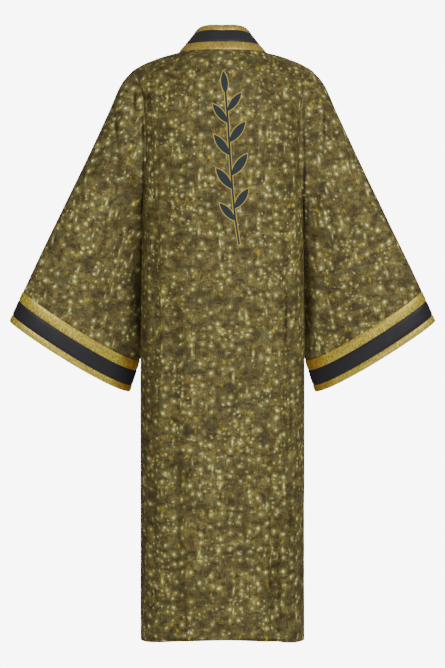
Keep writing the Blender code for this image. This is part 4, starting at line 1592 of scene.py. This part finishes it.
def sew_stitches(name, line, nodes, colour, seed):
    """One piece with a row of stitches along a line of places and outward directions."""
    group, sockets = nodes
    mesh = bpy.data.meshes.new(name)
    points = [place + outward * THREAD_RADIUS * THREAD_RISE for place, outward in line]
    mesh.from_pydata(points, [(i, i + 1) for i in range(len(line) - 1)], [])
    stored = mesh.attributes.new("outward", "FLOAT_VECTOR", "POINT")
    stored.data.foreach_set("vector", [value for _, outward in line for value in outward])
    row = put(name, mesh)
    sewing = row.modifiers.new("stitches", "NODES")
    sewing.node_group = group
    values = (STITCH_PITCH, STITCH_LENGTH, THREAD_RADIUS, colour, seed)
    for socket, value in zip(sockets.values(), values):
        sewing[socket] = value
    bpy.context.view_layer.update()
    evaluated = row.evaluated_get(bpy.context.evaluated_depsgraph_get())
    row_mesh = bpy.data.meshes.new_from_object(evaluated)
    row.modifiers.clear()
    row.data = row_mesh
    row_mesh.name = name
    row_mesh.shade_smooth()
    return row


# The robe

SIDES = {"left": 1, "right": -1}

# How far above the lower edge the hem's stitches run
HEM_STITCHES = 0.018

# How far the print of each panel starts from the same place on the printed cloth
PRINT_SHIFTS = {
    "back": (0.0, 0.0),
    "front_left": (0.71, 0.33),
    "front_right": (-0.83, 0.57),
    "sleeve_left": (1.93, -0.41),
    "sleeve_right": (-2.17, 0.29),
}

# How far on each strip starts on its cloth, for each letter of its node's name and of its own
SHIFT_ALONG = 0.4
SHIFT_ACROSS = 0.3

# The band's strips and their widths, from the strip sewn to the cloth to the strip at the free edge
STRIP_WIDTHS = {"gold_inner": GOLD_INNER, "black": BLACK_MIDDLE, "gold_outer": GOLD_OUTER}

# The cuffs' gold is a little greener than the neck's
CUFF_TINT = (0.93, 0.97, 0.62, 1.0)

# A place inside the robe, at the neck
INSIDE_NECK = Vector((0.0, 0.0, -0.1))


def robe_grids():
    """The finer grids of the robe with their creases: the back, the fronts, the neck band and the sleeves."""
    halves = {side: back_half(side) for side in SIDES.values()}
    back = finer_grid(mirrored_rows(halves[-1], halves[1]))
    fronts = {side: finer_grid(front_half(side)) for side in SIDES.values()}
    middle = len(back[0]) // 2
    neck = NECK_COLUMNS * FINER
    underarm = (YOKE_ROWS + ARMHOLE_ROWS) * FINER
    for side, front in fronts.items():
        front[0] = [back[0][middle + side * (neck + j)].copy() for j in range(len(front[0]))]
        for i in range(underarm, len(front)):
            front[i][-1] = back[i][middle + side * middle].copy()
    band = fine_band(back, fronts)
    back = creased_panel(back, "back", BACK_SEED)
    fronts = {side: creased_panel(front, "front", FRONT_SEEDS[side]) for side, front in fronts.items()}
    sleeves = {}
    for side, front in fronts.items():
        loop = [row[middle + side * middle] for row in back[: underarm + 1]]
        loop += [row[-1] for row in front[underarm - 1 : 0 : -1]]
        rings, turns = fine_sleeve(loop, side)
        sleeves[side] = leaning(creased_sleeve(rings, turns, side))
    return back, fronts, band, sleeves


def seamed_panels(back, fronts, sleeves):
    """The panels by name, with their finer lines beside hems and seams."""
    panels = {"back": with_seam_lines(with_hem_lines(back), PANEL_SEAMS)}
    for word, side in SIDES.items():
        panels[f"front_{word}"] = with_seam_lines(with_hem_lines(fronts[side]), PANEL_SEAMS)
    for word, side in SIDES.items():
        panels[f"sleeve_{word}"] = with_seam_lines(sleeves[side][: CLOTH_RINGS + 1], RING_SEAMS)
    return panels


def robe_normals(panels, band, sleeves):
    """The outward normals of every panel and strip, by place."""
    surfaces = []
    for name, rows in panels.items():
        around = name.startswith("sleeve")
        surfaces.append((rows, around, inside_of(rows, around)))
    surfaces.append((band, False, INSIDE_NECK))
    for rings in sleeves.values():
        cuff = rings[CLOTH_RINGS:]
        surfaces.append((cuff, True, inside_of(cuff, True)))
    return shared_normals(surfaces)


def finish_cloth(piece, node):
    """Attach a piece of cloth to the root, and hide the solid that it stands for."""
    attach(piece, "root")
    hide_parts(node)


def finish_stitches(piece):
    """Attach a row of stitches to the root."""
    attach(piece, "root")


def hem_line(rows, shown, normals):
    """Places on a panel where its hem is stitched, with the outward direction at each."""
    line = []
    for flat, out in list(zip(zip(*rows), zip(*shown)))[1:-1]:
        column = out[::-1]
        reached = lengths_along(column)
        i = next(i for i, length in enumerate(reached) if length >= HEM_STITCHES)
        line.append((point_at(column, reached, HEM_STITCHES), normals[key_of(flat[-1 - i])]))
    return line


def sew_panel(name, rows, normals, cloths, stitch_group, olive_thread):
    """One printed panel, and its hem stitches where it has a hem."""
    around = name.startswith("sleeve")
    rise = [0.0] * len(rows)
    if around:
        shown = sunk(rows, RING_SEAMS, normals, rise)
        lean = SLEEVE_LEAN if name == "sleeve_left" else -SLEEVE_LEAN
        places = sleeve_places(rows, PRINT_SHIFTS[name], lean)
    else:
        rise[-2] = -HEM_GROOVE
        shown = sunk(rows, PANEL_SEAMS, normals, rise)
        start = len(rows[0]) // 2 - 1 if name == "back" else 0
        places = torso_places(rows, start, -1 if name == "front_right" else 1, PRINT_SHIFTS[name])
    piece = sew_shell(name + "_cloth", rows, shown, normals, CLOTH, cloths, places, around)
    if not around:
        line = hem_line(rows, shown, normals)
        stitches = sew_stitches(name + "_hem_stitches", line, stitch_group, olive_thread, len(name))
        finish_stitches(stitches)
    finish_cloth(piece, name)


def sew_strip(node, strip, rows, normals, cloth, around, stitch_group, gold_thread):
    """One strip of the neck band or of a cuff, and the stitches at the edge of a gold one."""
    seams = RING_SEAMS[:1] if strip == "gold_outer" else RING_SEAMS
    crown = [STRIP_CROWN * math.sin(math.pi * share) ** 0.5 for share in even(len(rows) - 1)]
    shown = sunk(rows, seams, normals, crown)
    shift = (0.0 if around else SHIFT_ALONG * len(node), SHIFT_ACROSS * len(strip))
    places = ring_places(rows, shift) if around else strip_places(rows, shift)
    piece = sew_shell(node + "_cloth", rows, shown, normals, STRIP, (cloth, cloth), places, around)
    if strip != "black":
        i = -2 if strip == "gold_inner" else 1
        line = [(place, normals[key_of(point)]) for place, point in zip(shown[i], rows[i])]
        if around:
            line.append(line[0])
        stitches = sew_stitches(node + "_stitches", line, stitch_group, gold_thread, len(node))
        finish_stitches(stitches)
    finish_cloth(piece, node)


def make_robe():
    """Every piece of the robe: the printed panels, then the strips of the neck band and of the cuffs."""
    back, fronts, band, sleeves = robe_grids()
    panels = seamed_panels(back, fronts, sleeves)
    normals = robe_normals(panels, band, sleeves)
    stitch_group = stitch_nodes()
    prints = {
        "front": printed_cloth("olive_print", folds=FRONT_PAINTED_SHADE_FOLDS),
        "back": printed_cloth("olive_print_with_leaves", leaves=True, folds=BACK_PAINTED_SHADE_FOLDS),
        "sleeve": printed_cloth("olive_print_sleeves", painted_sleeve_light=True, folds=SLEEVE_PAINTED_SHADE_FOLDS),
    }
    reverse = printed_cloth("olive_print_reverse", reverse=True)
    olive_thread = thread("olive_thread", OLIVE_THREAD, metallic=0.0)
    for name, rows in panels.items():
        cloths = (prints[name.split("_")[0]], reverse)
        sew_panel(name, rows, normals, cloths, stitch_group, olive_thread)

    # The neck's gold is deeper than the cuffs': partly its own more orange tone, partly painted shade for the
    # strong light from above
    neck_gold = gold_cloth("gold_lame_neck", deep=0.30, grain=(520.0, 110.0), tint=WHITE)
    cuff_gold = gold_cloth("gold_lame_cuff", deep=0.10, grain=(200.0, 170.0), tint=CUFF_TINT, painted_underarm_shade=True)
    finishes = {"neck": (neck_gold, black_cloth("black_satin_neck", strength=1.0))}
    # The cuffs' black is a darker copy of the neck's: painted shade for the fill light that falls more on the
    # cuffs
    finishes["cuff"] = (cuff_gold, black_cloth("black_satin_cuff", strength=0.72))
    gold_thread = thread("gold_thread", GOLD_THREAD, metallic=0.25)
    for where in ("neck", *SIDES):
        around = where in SIDES
        lines = sleeves[SIDES[where]][CLOTH_RINGS:] if around else band
        gold, black = finishes["cuff" if around else "neck"]
        for strip, (first, last) in zip(STRIP_WIDTHS, strip_lines()[1]):
            node = f"cuff_{strip}_{where}" if around else f"neck_{strip}"
            cloth = black if strip == "black" else gold
            rows = lines[first : last + 1]
            sew_strip(node, strip, rows, normals, cloth, around, stitch_group, gold_thread)


make_robe()


# The floor, the light and what is behind the robe

FLOOR_Z = -1.90
FLOOR_RADIUS = 2.9
FLOOR_COLOUR = (0.92, 0.92, 0.92, 1.0)

# The strength of the even light on the cloth and of the white that the camera sees
WORLD_LIGHT = 0.22
WHITE_BEHIND = 8.0

# Each light: its place, what it points at, its width in metres, its power and whether the cloth's gloss
# shows it
Light = namedtuple("Light", "place towards size power glossy")
LIGHTS = {
    "key": Light((-1.3, 3.3, 1.4), (0.0, 0.0, -0.4), 1.2, 92.0, True),
    "fill": Light((-0.05, 2.8, -0.28), (0.0, 0.0, -0.4), 1.6, 46.0, True),
    "front": Light((0.8, -5.0, 1.2), (0.0, 0.0, -0.65), 3.0, 150.0, False),
}


def make_floor():
    """A round pale floor, far below the hem."""
    bm = bmesh.new()
    bmesh.ops.create_circle(bm, cap_ends=True, radius=FLOOR_RADIUS, segments=96)
    mesh = bpy.data.meshes.new("floor")
    bm.to_mesh(mesh)
    bm.free()
    floor = put("floor", mesh)
    floor.location = (0.0, 0.0, FLOOR_Z)
    material = bpy.data.materials.new("pale_floor")
    material.use_nodes = True
    shader = material.node_tree.nodes["Principled BSDF"]
    shader.inputs["Base Color"].default_value = FLOOR_COLOUR
    shader.inputs["Roughness"].default_value = 0.9
    mesh.materials.append(material)


def add_light(name, lamp):
    """A soft studio light that doesn't show itself to the camera."""
    data = bpy.data.lights.new(name, "AREA")
    data.shape = "DISK"
    data.size = lamp.size
    data.energy = lamp.power
    light = put(name, data)
    light.location = lamp.place
    light.rotation_euler = (Vector(lamp.towards) - Vector(lamp.place)).to_track_quat("-Z", "Y").to_euler()
    light.visible_camera = False
    light.visible_glossy = lamp.glossy


def set_surroundings():
    """White to the camera, and a softer even light on the cloth."""
    world = bpy.data.worlds.new("studio")
    bpy.context.scene.world = world
    world.use_nodes = True
    tree = world.node_tree
    tree.nodes.clear()
    camera_ray = add_node(tree, "ShaderNodeLightPath").outputs["Is Camera Ray"]
    lighting, seen = [
        add_node(tree, "ShaderNodeBackground", {"Color": WHITE, "Strength": strength}).outputs[0]
        for strength in (WORLD_LIGHT, WHITE_BEHIND)
    ]
    both = add_node(tree, "ShaderNodeMixShader", {0: camera_ray, 1: lighting, 2: seen})
    add_node(tree, "ShaderNodeOutputWorld", {"Surface": both.outputs[0]})


make_floor()
set_surroundings()
for name, lamp in LIGHTS.items():
    add_light(name, lamp)
